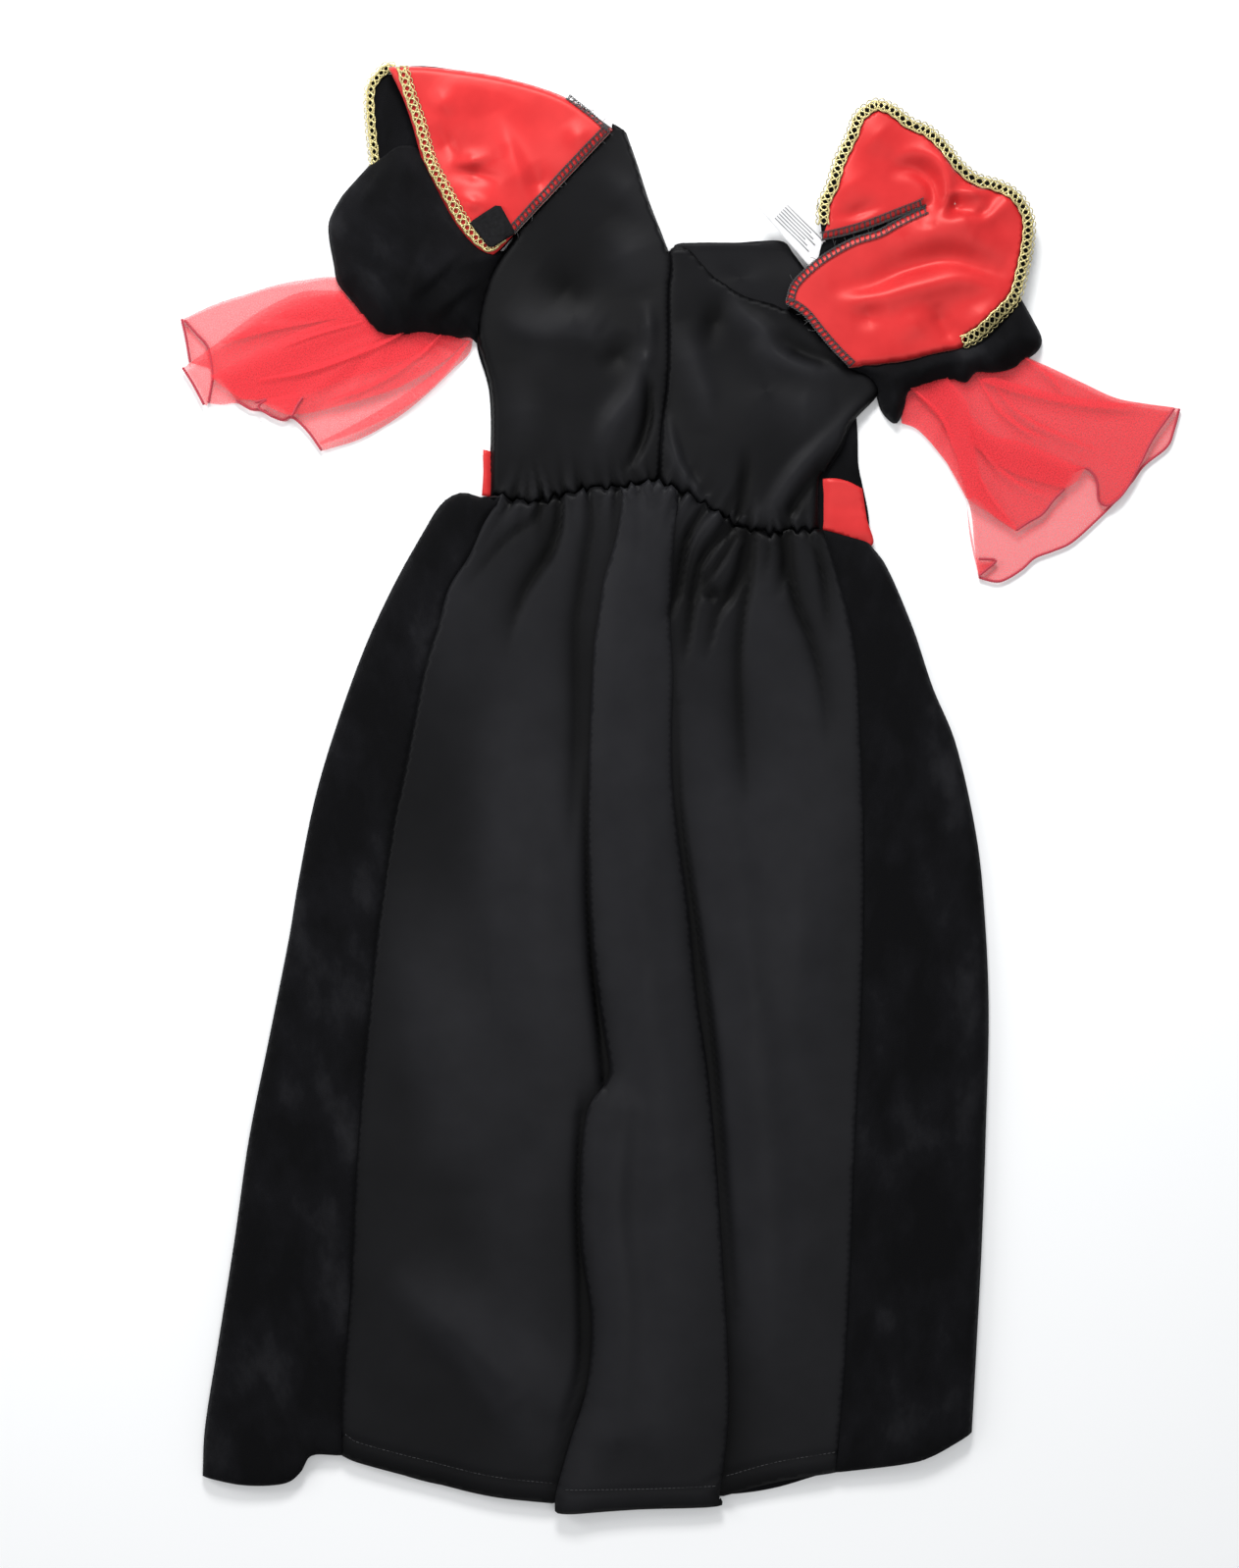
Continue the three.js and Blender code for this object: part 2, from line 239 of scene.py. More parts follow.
def noise_node(nodes, links, vector, scale, detail=3.0, roughness=0.55):
    node = nodes.new("ShaderNodeTexNoise")
    settle(node, {"Scale": scale, "Detail": detail, "Roughness": roughness})
    links.new(vector, node.inputs["Vector"])
    return node.outputs["Fac"]


def ramp(nodes, links, value, stops):
    node = nodes.new("ShaderNodeValToRGB")
    elements = node.color_ramp.elements
    while len(elements) < len(stops):
        elements.new(0.5)
    for element, (position, colour) in zip(elements, stops):
        element.position = position
        element.color = (*colour, 1)
    links.new(value, node.inputs["Fac"])
    return node.outputs["Color"]


def spread(nodes, links, value, low, high):
    node = nodes.new("ShaderNodeMapRange")
    settle(node, {"To Min": low, "To Max": high})
    links.new(value, node.inputs["Value"])
    return node.outputs["Result"]


def bump(nodes, links, shader, height, strength, distance, below=None):
    node = nodes.new("ShaderNodeBump")
    settle(node, {"Strength": strength, "Distance": distance})
    links.new(height, node.inputs["Height"])
    if below is not None:
        links.new(below, node.inputs["Normal"])
    links.new(node.outputs["Normal"], shader.inputs["Normal"])
    return node.outputs["Normal"]


def painted_fold_shade(nodes, links, colour, low, high, darkest, brightest):
    """Painted shade and painted light: the colour darkened where the cloth lies low between its folds and
    brightened on its crests, read from the stored height.
    """
    level = nodes.new("ShaderNodeAttribute")
    level.attribute_name = "height_mm"
    shade = nodes.new("ShaderNodeMapRange")
    shade.interpolation_type = "SMOOTHSTEP"
    settle(shade, {"From Min": low, "From Max": high, "To Min": darkest, "To Max": brightest})
    links.new(level.outputs["Fac"], shade.inputs["Value"])
    mix = nodes.new("ShaderNodeVectorMath")
    mix.operation = "SCALE"
    links.new(colour, mix.inputs[0])
    links.new(shade.outputs["Result"], mix.inputs["Scale"])
    return mix.outputs["Vector"]


def satin(name, dark, light, roughness, sheen, sheen_tint, specular, gloss_tint, dips=None):
    """Woven satin: fine floats one way, soft lengthwise sheen, faint cloudy variation."""
    material, nodes, links, shader = tree(name)
    cloud = noise_node(nodes, links, mapped(nodes, links, (1, 1, 1)), 26)
    colour = ramp(nodes, links, cloud, [(0.3, dark), (0.72, light)])
    # Painted shade and painted light: with dips, the base colour is darkened low in the folds and brightened
    # on their crests.
    if dips:
        colour = painted_fold_shade(nodes, links, colour, *dips)
    links.new(colour, shader.inputs["Base Color"])
    floats = noise_node(nodes, links, mapped(nodes, links, (900, 5200, 1)), 1, 2)
    links.new(spread(nodes, links, floats, roughness - 0.06, roughness + 0.06), shader.inputs["Roughness"])
    grain = bump(nodes, links, shader, floats, 0.06, 0.0002)
    slub = noise_node(nodes, links, mapped(nodes, links, (60, 420, 1)), 1, 4)
    bump(nodes, links, shader, slub, 0.06, 0.0006, grain)
    settle(shader, {"Anisotropic": 0.45, "Sheen Weight": sheen, "Sheen Roughness": 0.35,
                    "Sheen Tint": (*sheen_tint, 1), "Specular IOR Level": specular,
                    "Specular Tint": (*gloss_tint, 1)})
    return material


def velvet(name):
    """Pile, nearly black from above, with cloudy patches where the nap is brushed the other way: real nap
    changes, painted lighter in the base colour as a painted sheen.
    """
    material, nodes, links, shader = tree(name)
    vector = mapped(nodes, links, (1, 0.6, 1), 0.5)
    cloud = noise_node(nodes, links, vector, 14, 6, 0.6)
    streak = noise_node(nodes, links, mapped(nodes, links, (30, 16, 1), -0.3), 1, 5)
    nap_sheen_patches = nodes.new("ShaderNodeMath")
    nap_sheen_patches.operation = "MULTIPLY"
    links.new(cloud, nap_sheen_patches.inputs[0])
    links.new(streak, nap_sheen_patches.inputs[1])
    # Painted sheen: the lighter stops paint the light caught by pile brushed the other way into the base
    # colour.
    stops = [(0.2, (0.003, 0.003, 0.0035)), (0.3, (0.005, 0.005, 0.006)),
             (0.42, (0.0125, 0.0125, 0.0142))]
    links.new(ramp(nodes, links, nap_sheen_patches.outputs[0], stops), shader.inputs["Base Color"])
    pile = noise_node(nodes, links, mapped(nodes, links, (1500, 1500, 1)), 1, 2)
    fine = bump(nodes, links, shader, pile, 0.5, 0.0006)
    bump(nodes, links, shader, cloud, 0.25, 0.002, fine)
    settle(shader, {"Roughness": 0.95, "Specular IOR Level": 0.08, "Sheen Weight": 0.05,
                    "Sheen Roughness": 0.3, "Sheen Tint": (0.35, 0.36, 0.4, 1)})
    return material


def organza(name):
    """Sheer plain weave: see-through, with a fine open grid and a little shine on its threads."""
    material, nodes, links, shader = tree(name)
    grid = noise_node(nodes, links, mapped(nodes, links, (900, 900, 1)), 1, 1)
    links.new(ramp(nodes, links, grid, [(0.3, (0.7, 0.008, 0.018)), (0.7, (0.86, 0.02, 0.035))]),
              shader.inputs["Base Color"])
    links.new(spread(nodes, links, grid, 0.42, 0.7), shader.inputs["Alpha"])
    bump(nodes, links, shader, grid, 0.2, 0.0003)
    settle(shader, {"Roughness": 0.5, "Sheen Weight": 0.25, "Sheen Roughness": 0.4,
                    "Sheen Tint": (1.0, 0.5, 0.5, 1)})
    return material


def thread(name, colour, light, roughness=0.5, metallic=0.0, sheen=0.2):
    """Twisted thread: fine slanting twist with lighter and darker filaments."""
    material, nodes, links, shader = tree(name)
    twist = noise_node(nodes, links, mapped(nodes, links, (1400, 2600, 1), 0.7), 1, 2)
    links.new(ramp(nodes, links, twist, [(0.3, colour), (0.7, light)]), shader.inputs["Base Color"])
    bump(nodes, links, shader, twist, 0.3, 0.0003)
    settle(shader, {"Roughness": roughness, "Metallic": metallic, "Sheen Weight": sheen})
    return material


def woven(name, dark, light, pitch, roughness=0.8):
    """Plain woven tape with crossing ribs of the given pitch in metres."""
    material, nodes, links, shader = tree(name)
    ribs = nodes.new("ShaderNodeTexChecker")
    ribs.inputs["Scale"].default_value = 1
    links.new(mapped(nodes, links, (1 / pitch, 1 / pitch, 1)), ribs.inputs["Vector"])
    patch = noise_node(nodes, links, mapped(nodes, links, (1, 1, 1)), 320, 3)
    links.new(ramp(nodes, links, patch, [(0.3, dark), (0.7, light)]), shader.inputs["Base Color"])
    weave = bump(nodes, links, shader, ribs.outputs["Fac"], 0.35, 0.0003)
    bump(nodes, links, shader, patch, 0.3, 0.0005, weave)
    settle(shader, {"Roughness": roughness, "Sheen Weight": 0.0, "Specular IOR Level": 0.2})
    return material


# The black satin's dips paint shade into its fold valleys and light onto its crests.
BLACK_SATIN = satin("black_satin", (0.0082, 0.0082, 0.0094), (0.0106, 0.0106, 0.0121),
    0.52, 0.02, (0.5, 0.5, 0.55), 0.085, (1, 1, 1), dips=(5.5, 15.5, 0.08, 1.4))
RED_SATIN = satin("red_satin", (0.47, 0.018, 0.02), (0.585, 0.027, 0.029),
    0.42, 0.12, (1.0, 0.4, 0.36), 0.6, (1.0, 0.36, 0.32))
VELVET = velvet("black_velvet")
ORGANZA = organza("red_organza")
HEM_THREAD = thread("hem_thread", (0.3, 0.01, 0.025), (0.55, 0.02, 0.05))
GOLD = thread("gold_lace", (0.34, 0.27, 0.09), (0.8, 0.72, 0.38), 0.34, 0.7, 0.0)
BLACK_THREAD = thread("overlock_thread", (0.006, 0.006, 0.007), (0.03, 0.03, 0.034))
HOOK_TAPE = woven("hook_tape_black", (0.003, 0.003, 0.0035), (0.008, 0.008, 0.009), 0.0012, 0.95)
LABEL_TAPE = woven("label_white", (0.78, 0.78, 0.79), (0.86, 0.86, 0.87), 0.0006, 0.6)
ELASTIC = woven("elastic_white", (0.7, 0.7, 0.7), (0.82, 0.82, 0.82), 0.0016)
INTERFACING = woven("interfacing", (0.6, 0.58, 0.52), (0.72, 0.7, 0.64), 0.0009, 0.9)


# ---------------------------------------------------------------- mesh makers
def as_object(name, vertices, faces, uv, material):
    """vertices in millimetres; uv in metres, one per vertex."""
    mesh = bpy.data.meshes.new(name)
    mesh.from_pydata((np.array(vertices) * MM).tolist(), [], faces)
    layer = mesh.uv_layers.new(name="uv")
    corner = np.zeros(len(mesh.loops), np.int32)
    mesh.loops.foreach_get("vertex_index", corner)
    layer.data.foreach_set("uv", np.array(uv, np.float32)[corner].ravel())
    mesh.polygons.foreach_set("use_smooth", [True] * len(mesh.polygons))
    mesh.materials.append(material)
    mesh.update()
    obj = bpy.data.objects.new(name, mesh)
    bpy.context.scene.collection.objects.link(obj)
    return obj


def cloth(name, outline, height, material, pitch=4.0, thick=0.6, lean=None, grain=0.0, shade_lift=0.0):
    """A sheet over a flat outline: height(x, y) gives its level, lean(x, y) moves points sideways.

    grain turns the weave; an extra height can be added to the stored height from which the satin's painted
    fold shade is read.
    """
    low, high = outline.min(0), outline.max(0)
    rows = np.arange(low[1], high[1], pitch * 0.866)
    columns = np.arange(low[0], high[0], pitch)
    grid = np.array([(x + (k % 2) * pitch / 2, y) for k, y in enumerate(rows) for x in columns])
    ring = np.vstack([outline, outline[:1]])
    distance, _ = nearest(grid[:, 0], grid[:, 1], ring)
    keep = inside(grid[:, 0], grid[:, 1], outline) & (np.abs(distance) > 0.55 * pitch)
    points = np.vstack([outline, grid[keep]])
    count = len(outline)
    edges = [(k, (k + 1) % count) for k in range(count)]
    flat, _, faces, *_ = geometry.delaunay_2d_cdt([Vector(p) for p in points], edges, [], 1, 1e-4)
    flat = np.array([tuple(v) for v in flat])
    x, y = flat[:, 0], flat[:, 1]
    z = height(x, y)
    dx, dy = lean(x, y) if lean else (0.0, 0.0)
    c, s = math.cos(grain), math.sin(grain)
    uv = np.column_stack([x * c + y * s, y * c - x * s]) * MM
    obj = as_object(name + "_cloth", np.column_stack([x + dx, y + dy, z]), faces, uv, material)
    # The stored height drives the black satin's painted fold shade: darker low in the folds, lighter on the
    # crests.
    level = obj.data.attributes.new("height_mm", "FLOAT", "POINT")
    level.data.foreach_set("value", (z + shade_lift).astype(np.float32))
    if thick:
        solid = obj.modifiers.new("thickness", "SOLIDIFY")
        solid.thickness = thick * MM
        solid.offset = -1
    return obj


def tubes(name, paths, radius, material, sides=5):
    """Closed tubes along 3-D paths in millimetres, as one mesh; radius is one number, or one a path."""
    vertices, faces, uv = [], [], []
    radii = radius if hasattr(radius, "__len__") else [radius] * len(paths)
    angles = np.arange(sides) * 2 * math.pi / sides
    for path, r in zip(paths, radii):
        p = np.array(path, float)
        tangent = np.gradient(p, axis=0)
        tangent /= np.linalg.norm(tangent, axis=1)[:, None] + 1e-9
        across = np.cross(tangent, (0.0, 0.05, 1.0))
        across /= np.linalg.norm(across, axis=1)[:, None] + 1e-9
        up = np.cross(across, tangent)
        base = len(vertices)
        run = run_lengths(p)
        for k in range(len(p)):
            ring = p[k] + r * (np.cos(angles)[:, None] * across[k] + np.sin(angles)[:, None] * up[k])
            vertices.extend(ring.tolist())
            uv.extend([(a / 6.28 * r * 6 * MM, run[k] * MM) for a in angles])
        for k in range(len(p) - 1):
            for m in range(sides):
                a, b = base + k * sides + m, base + k * sides + (m + 1) % sides
                faces.append((a, b, b + sides, a + sides))
        faces.append(tuple(base + m for m in reversed(range(sides))))
        faces.append(tuple(base + (len(p) - 1) * sides + m for m in range(sides)))
    obj = as_object(name, vertices, faces, uv, material)
    return obj


def on_path(path, level):
    """at(s), giving the point, tangent, left normal and cloth level at s along a flat path; its length."""
    p = np.array(path, float)
    run = run_lengths(p)
    tangent = tangents(p)

    def at(s):
        s = np.asarray(s, float)
        point = np.column_stack([np.interp(s, run, p[:, k]) for k in (0, 1)])
        t = np.column_stack([np.interp(s, run, tangent[:, k]) for k in (0, 1)])
        t /= np.linalg.norm(t, axis=1)[:, None]
        return point, t, leftward(t), level

    return at, run[-1]


def dress(piece, body):
    """A sheet that stands for the node of its name and rides one body."""
    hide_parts(piece.name.removesuffix("_cloth"))
    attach(piece, body)


# ---------------------------------------------------------------- the waist, where skirt meets bodice
GATHER_LINE = smooth(GATHER, 4)


def gathers(x, y, reach, height, seed):
    """Uneven puckers running out of the waist seam, with a valley at the seam itself."""
    d, share = nearest(x, y, GATHER_LINE)
    run = WAIST_RUN * share + 3.5 * noise(x, y, 26, seed)
    pucker = np.sin(run * 0.62) + 0.7 * np.sin(run * 0.37 + 1.3 + seed) + 0.3 * np.sin(run * 1.25 + seed)
    uneven = 0.7 + 0.5 * noise(WAIST_RUN * share, 0 * x, 31, seed + 1)
    return height * uneven * pucker * np.exp(-(np.abs(d) / reach) ** 1.2) - 2.8 * np.exp(-np.abs(d) / 1.9)


def waist_ripple(x, y):
    """The waist seam drawn into small waves by its elastic."""
    d, share = nearest(x, y, GATHER_LINE)
    run = WAIST_RUN * share
    wave = np.sin(run * 0.58 + 1.1 * np.sin(run * 0.11)) + 0.6 * np.sin(run * 0.93 + 2)
    ends = np.clip(np.minimum(share, 1 - share) / 0.05, 0, 1)
    fade = np.exp(-(d / 9) ** 2) * ends
    return 0.7 * fade * np.sin(run * 0.41), 1.7 * wave * fade


# ---------------------------------------------------------------- skirt
# Each fold below: its path, the heights or depths along it, and its widths left and right of the path.
# The valleys run from the waist down, between the gathers.
SKIRT_VALLEYS = [
    ([(-99, 200), (-106, 188), (-123, 175), (-138, 158), (-156, 137)], (4, 4, 3.5, 2, 0), 9, 6),
    ([(-84, 202), (-86, 184), (-91, 167), (-102, 150), (-111, 135), (-119, 111), (-124, 85)],
        (5, 7, 7, 6, 4, 1.5, 0), 3.5, 11),
    ([(-64, 205), (-63, 188), (-66, 167), (-72, 128), (-74, 111), (-74, 38), (-78, -60)],
        (4, 4.5, 4, 4, 3.5, 2, 0), 9, 7),
    ([(16, 195), (7, 177), (3, 160), (-1, 137), (-7, 120)], (5, 6, 6, 5, 2), 3, 6),
    ([(37, 184), (18, 162), (12, 145), (10, 130), (5, 98), (2, 81)], (5, 6, 6, 5, 3, 0), 3.5, 7),
    ([(44, 181), (29, 158), (16, 141)], (4, 5, 2), 3, 5),
    ([(22, 143), (23, 135), (22, 127)], (2, 5, 1), 8, 7),
    ([(50, 179), (46, 156), (37, 135), (27, 120), (22, 102), (18, 85)], (5, 6, 6, 4, 3, 0), 3, 7),
    ([(54, 179), (50, 145), (46, 124), (43, 92), (44, 49), (48, -20)], (5, 5, 5, 4, 3, 0), 3.5, 9),
    ([(75, 178), (74, 152), (69, 130)], (4, 4, 0), 3, 6),
    ([(76, 178), (78, 150), (84, 124), (93, 102), (102, 66), (106, 20)], (5, 6, 5, 4, 2, 0), 7, 3.5),
    ([(92, 180), (101, 152), (104, 130), (107, 96)], (4, 5, 3, 0), 6, 3.5),
    ([(-30, 208), (-29, 180), (-31, 150)], (3, 1.5, 0), 6, 6),
    ([(-118, 203), (-132, 185), (-146, 158)], (3, 2, 0), 5, 6),
    ([(64, 180), (62, 160), (58, 140)], (3, 2.5, 0), 4, 4),
    ([(-66, 20), (-67, -60), (-64, -119), (-59, -165), (-55, -212)], (0, 2, 3.5, 4.5, 3), 11, 2),
    ([(-72, -235), (-74, -290), (-72, -350), (-72, -410), (-84, -455)], (2, 2.5, 2.5, 3, 1), 10, 2),
    ([(-1, 60), (2, -20), (14, -110), (26, -200), (34, -290), (40, -370)], (1, 3.5, 4.5, 4.5, 3.5, 1),
        2, 10),
]
SKIRT_DRAPES = [
    ([(-205, -343), (-160, -385), (-115, -420), (-72, -448)], (0, 3, 3, 0), 26, 16),
    ([(-190, -60), (-175, -170), (-160, -290)], (0, 2.5, 0), 34, 22),
    ([(85, 40), (80, -110), (70, -260), (60, -420)], (0, 3, 2, 0), 24, 34),
    ([(-120, 60), (-105, -60), (-105, -200)], (0, 3, 0), 24, 28),
    ([(20, 60), (38, -60), (52, -190), (62, -330), (60, -450)], (0, 3, 3, 2, 0), 16, 20),
    ([(-150, -400), (-120, -440), (-95, -480)], (0, 2, 0), 14, 14),
    ([(-30, 150), (-33, 40), (-28, -120), (-8, -300), (-20, -450)], (1, 2.5, 2.5, 2, 1), 20, 18),
    ([(-40, -230), (-45, -300), (-38, -380), (-45, -460)], (2, 2.5, 2, 1), 10, 14),
]


def skirt_base(x, y):
    z = 11.0 + 2.0 * noise(x, y * 0.4, 95, 3) + 0.8 * noise(x, y * 0.35, 40, 4)
    z = with_folds(z, x, y, SKIRT_DRAPES, 2.4)
    z = z + 2.2 * np.exp(-np.clip(190 - y, 0, 400) / 90)
    for path, depths, left, right in SKIRT_VALLEYS:
        d, depth = across_fold(x, y, path, depths)
        z = z - 1.25 * depth * np.exp(-np.abs(d) / np.where(d > 0, left, right))
    return z


def hem_fall(x, y):
    """1 over the skirt, falling to 0 at the hem."""
    d, _ = nearest(x, y, HEM_LINE)
    return 1 - np.exp(-np.abs(d) / 7)


HEM_RUNS = (HEM_VELVET_LEFT, HEM_SATIN, HEM_FLAP, HEM_SATIN_RIGHT, HEM_VELVET_RIGHT)
HEM_LINE = np.vstack([smooth(run, FOLD_PITCH) for run in HEM_RUNS])


def hem_tuck(x, y):
    """The line where the hem is turned up and stitched."""
    d, _ = nearest(x, y, HEM_LINE)
    return -0.7 * np.exp(-((np.abs(d) - 15) / 2.2) ** 2)


def skirt_back(x, y):
    sides = rolled(x, y, SIDE_LEFT, 12) * rolled(x, y, SIDE_RIGHT, 10)
    body = (skirt_base(x, y) - 3.4) * sides
    seams = sum(-1.2 * np.exp(-away_from(x, y, seam) / 2.2) for seam in (SEAM_LEFT, SEAM_RIGHT))
    lowest = 3.6 + 1.4 * step(y, 110, 140) * sides
    level = 3.4 + body * (0.5 + 0.5 * hem_fall(x, y)) + (seams + gathers(x, y, 15, 1.9, 8)) * sides
    return np.maximum(lowest, level)


def beside_pleat(x, y):
    """The cloth on either side dips where the pleat lies over it."""
    under = sum(np.exp(-away_from(x, y, edge) / width) * depth
                for edge, width, depth in ((PLEAT_LEFT, 7, 3.4), (PLEAT_RIGHT, 9, 2.6)))
    return np.maximum(3.6, skirt_back(x, y) - under * (0.35 + 0.65 * hem_fall(x, y)) + hem_tuck(x, y))


def skirt_pleat(x, y):
    left, right = (away_from(x, y, edge) for edge in (PLEAT_LEFT, PLEAT_RIGHT))
    lift = 1.6 - 1.5 * np.exp(-np.minimum(left, right) / 5) + 1.2 * np.exp(-((left - 14) / 10) ** 2)
    return np.maximum(4.6, skirt_back(x, y) + lift + hem_tuck(x, y))


def stitches(name, path, level, step_length=3.2, length=2.2):
    """Short machine stitches along a path, sunk a little into the cloth."""
    line = evenly(np.array(path, float), step_length)
    paths = []
    for p, t in zip(line, tangents(line)):
        run = p + t * np.linspace(-0.5, 0.5, 4)[:, None] * length
        height = level(run[:, 0], run[:, 1]) + 0.05
        paths.append(np.column_stack([run, height]))
    return tubes(name, paths, 0.22, BLACK_THREAD, 4)


def moved(path, dx):
    return [(x + dx, y) for x, y in path]


GATHER_LEFT = GATHER[:9]
GATHER_MID = GATHER[7:12]
GATHER_RIGHT = GATHER[11:]
front_skirt = cloth("front_skirt", loop(SIDE_LEFT, HEM_VELVET_LEFT, [(-241, -477), (-150, -502),
    (30, -506), (111, -489)], HEM_VELVET_RIGHT, SIDE_RIGHT[::-1], [(135, 172), (0, 190), (-142, 205)],
    pitch=6), at_level(1.3), VELVET, 9)
skirt_side_left = cloth("skirt_side_left", loop(SIDE_LEFT, HEM_VELVET_LEFT, SEAM_LEFT[::-1],
    [(-127, 204), (-142, 205)]), skirt_back, VELVET, 4, grain=0.12)
skirt_side_right = cloth("skirt_side_right", loop(SEAM_RIGHT, HEM_VELVET_RIGHT, SIDE_RIGHT[::-1],
    [(135, 172), (102, 181)]), skirt_back, VELVET, 4, grain=-0.1)
back_skirt_left = cloth("back_skirt_left", loop(SEAM_LEFT, HEM_SATIN, [(-91, -511), (-77, -508)],
    moved(PLEAT_LEFT, 12)[::-1], GATHER_LEFT[::-1]), beside_pleat, BLACK_SATIN,
    3.2, lean=waist_ripple)
back_skirt_right = cloth("back_skirt_right", loop(moved(PLEAT_RIGHT, -10), [(18, -506), (31, -506)],
    HEM_SATIN_RIGHT, SEAM_RIGHT[::-1], GATHER_RIGHT[::-1]), beside_pleat, BLACK_SATIN,
    3.2, lean=waist_ripple)
back_skirt_centre = cloth("back_skirt_centre", loop(PLEAT_LEFT, HEM_FLAP, PLEAT_RIGHT[::-1],
    GATHER_MID[::-1]), skirt_pleat, BLACK_SATIN, 3, lean=waist_ripple)
HEM_STITCHES = (("hem_stitches_left", [(-237, -462), (-226, -468), (-177, -481), (-135, -491),
    (-92, -496)], beside_pleat), ("hem_stitches_centre", [(-80, -500), (-29, -500), (24, -498)],
    skirt_pleat), ("hem_stitches_right", [(34, -491), (68, -481), (109, -474)], beside_pleat))
for name, path, level in HEM_STITCHES:
    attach(stitches(name, smooth(path, 3), level), "skirt")
for piece in (front_skirt, skirt_side_left, skirt_side_right, back_skirt_left, back_skirt_right,
              back_skirt_centre):
    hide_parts(piece.name.removesuffix("_cloth"))
    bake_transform(piece)


# ---------------------------------------------------------------- bodice
BODICE_FOLDS = [
    ([(-128, 338), (-114, 326), (-98, 321), (-76, 323), (-60, 317), (-56, 305)], (0, 2, 3, 3.5, 3, 0),
        16, 8),
    ([(-36, 322), (-44, 306), (-60, 296)], (0, -2.5, 0), 9, 9),
    ([(-24, 302), (-22, 277), (-23, 258), (-31, 235), (-42, 222)], (2, -4, -5, -4, 0), 3.5, 4.5),
    ([(-26, 300), (-33, 277), (-47, 258), (-56, 235)], (2, 4, 4.5, 1), 9, 9),
    ([(-54, 400), (-40, 380), (-30, 350)], (0, 3, 0), 22, 14),
    ([(-60, 440), (-40, 420), (-20, 402)], (0, 2.2, 0), 12, 9),
    ([(-24, 345), (-22, 325), (-22, 306)], (0, 3, 1), 5, 6),
    ([(-120, 300), (-112, 262), (-118, 230)], (0, 2.5, 0), 14, 16),
    ([(-100, 368), (-78, 350), (-62, 338)], (0, -2, 0), 14, 12),
    ([(33, 352), (44, 334), (58, 322), (66, 306), (90, 296), (117, 294)], (1, 4, 5, 5, 4, 1), 7, 9),
    ([(74, 325), (84, 310), (104, 301), (120, 300)], (0, -3, -3, 0), 6, 8),
    ([(1, 330), (11, 296), (17, 277), (18, 250)], (0, 3, 3, 0), 9, 13),
    ([(-8, 258), (-3, 233), (7, 214), (17, 202)], (1, 4, 5, 2), 4, 6),
    ([(30, 352), (24, 330), (20, 308)], (0, -3, 0), 8, 8),
    ([(47, 243), (47, 220), (42, 193)], (0, -3.5, -4), 4, 5),
    ([(128, 268), (110, 250), (84, 223), (62, 192)], (1, 3, 4.5, 3), 9, 7),
    ([(118, 246), (98, 222), (80, 196)], (0, -3, -3), 5, 6),
    ([(70, 280), (88, 268), (112, 272)], (0, 2.5, 0), 12, 14),
]


def bodice_base(x, y):
    return with_folds(9.5 + 1.3 * noise(x, y, 70, 11) + 0.5 * noise(x, y, 34, 12), x, y, BODICE_FOLDS)


ARMHOLE_LEFT = [(-135, 206), (-134, 239), (-135, 281), (-144, 317), (-144, 336), (-135, 365),
    (-117, 392)]
SHOULDER_LEFT = [(-117, 392), (-82, 429), (-48, 466), (-48, 470), (-38, 464)]
CENTRE_BACK_LEFT = [(-38, 464), (-30, 441), (-22, 416), (-13, 393), (-8, 380)]
TOP_RIGHT = [(-8, 380), (-3, 383), (6, 381), (16, 371), (24, 362), (33, 356), (46, 348), (64, 343),
    (74, 339)]
SIDE_BODICE_RIGHT = [(99, 185), (99, 218), (104, 223), (115, 239), (123, 258), (141, 278), (137, 290),
    (120, 298)]


def bodice_height(x, y, edges, seed):
    seam = -1.4 * np.exp(-away_from(x, y, CENTRE_SEAM) / 1.5)
    return np.maximum(4.4, 4.4 + (bodice_base(x, y) - 4.4) * edges + seam + gathers(x, y, 12, 2.7, seed))


def bodice_left_height(x, y):
    return bodice_height(x, y, rolled(x, y, ARMHOLE_LEFT, 6) * rolled(x, y, CENTRE_BACK_LEFT, 2.5), 21)


def bodice_right_height(x, y):
    return bodice_height(x, y, rolled(x, y, TOP_RIGHT, 2.5) * rolled(x, y, SIDE_BODICE_RIGHT, 6), 22)


def facing_height(x, y):
    turned_edge = [(14, 384), (44, 384), (74, 384)]
    return 5.2 + 0.5 * noise(x, y, 18, 31) + ridge(x, y, turned_edge, (0.6, 0.8, 0.6), 2, 2)


back_bodice_left = cloth("back_bodice_left", loop(NECK_SEAM_LEFT, SHOULDER_LEFT[2:],
    CENTRE_BACK_LEFT, CENTRE_SEAM, GATHER[:10][::-1], ARMHOLE_LEFT, pitch=2.5),
    bodice_left_height, BLACK_SATIN, 2.6, lean=waist_ripple, grain=0.05)
back_bodice_right = cloth("back_bodice_right", loop(TOP_RIGHT, [(74, 339), (97, 322), (120, 298)],
    SIDE_BODICE_RIGHT[::-1], GATHER[9:][::-1], CENTRE_SEAM[::-1], pitch=2.5),
    bodice_right_height, BLACK_SATIN, 2.6, lean=waist_ripple, grain=-0.05)
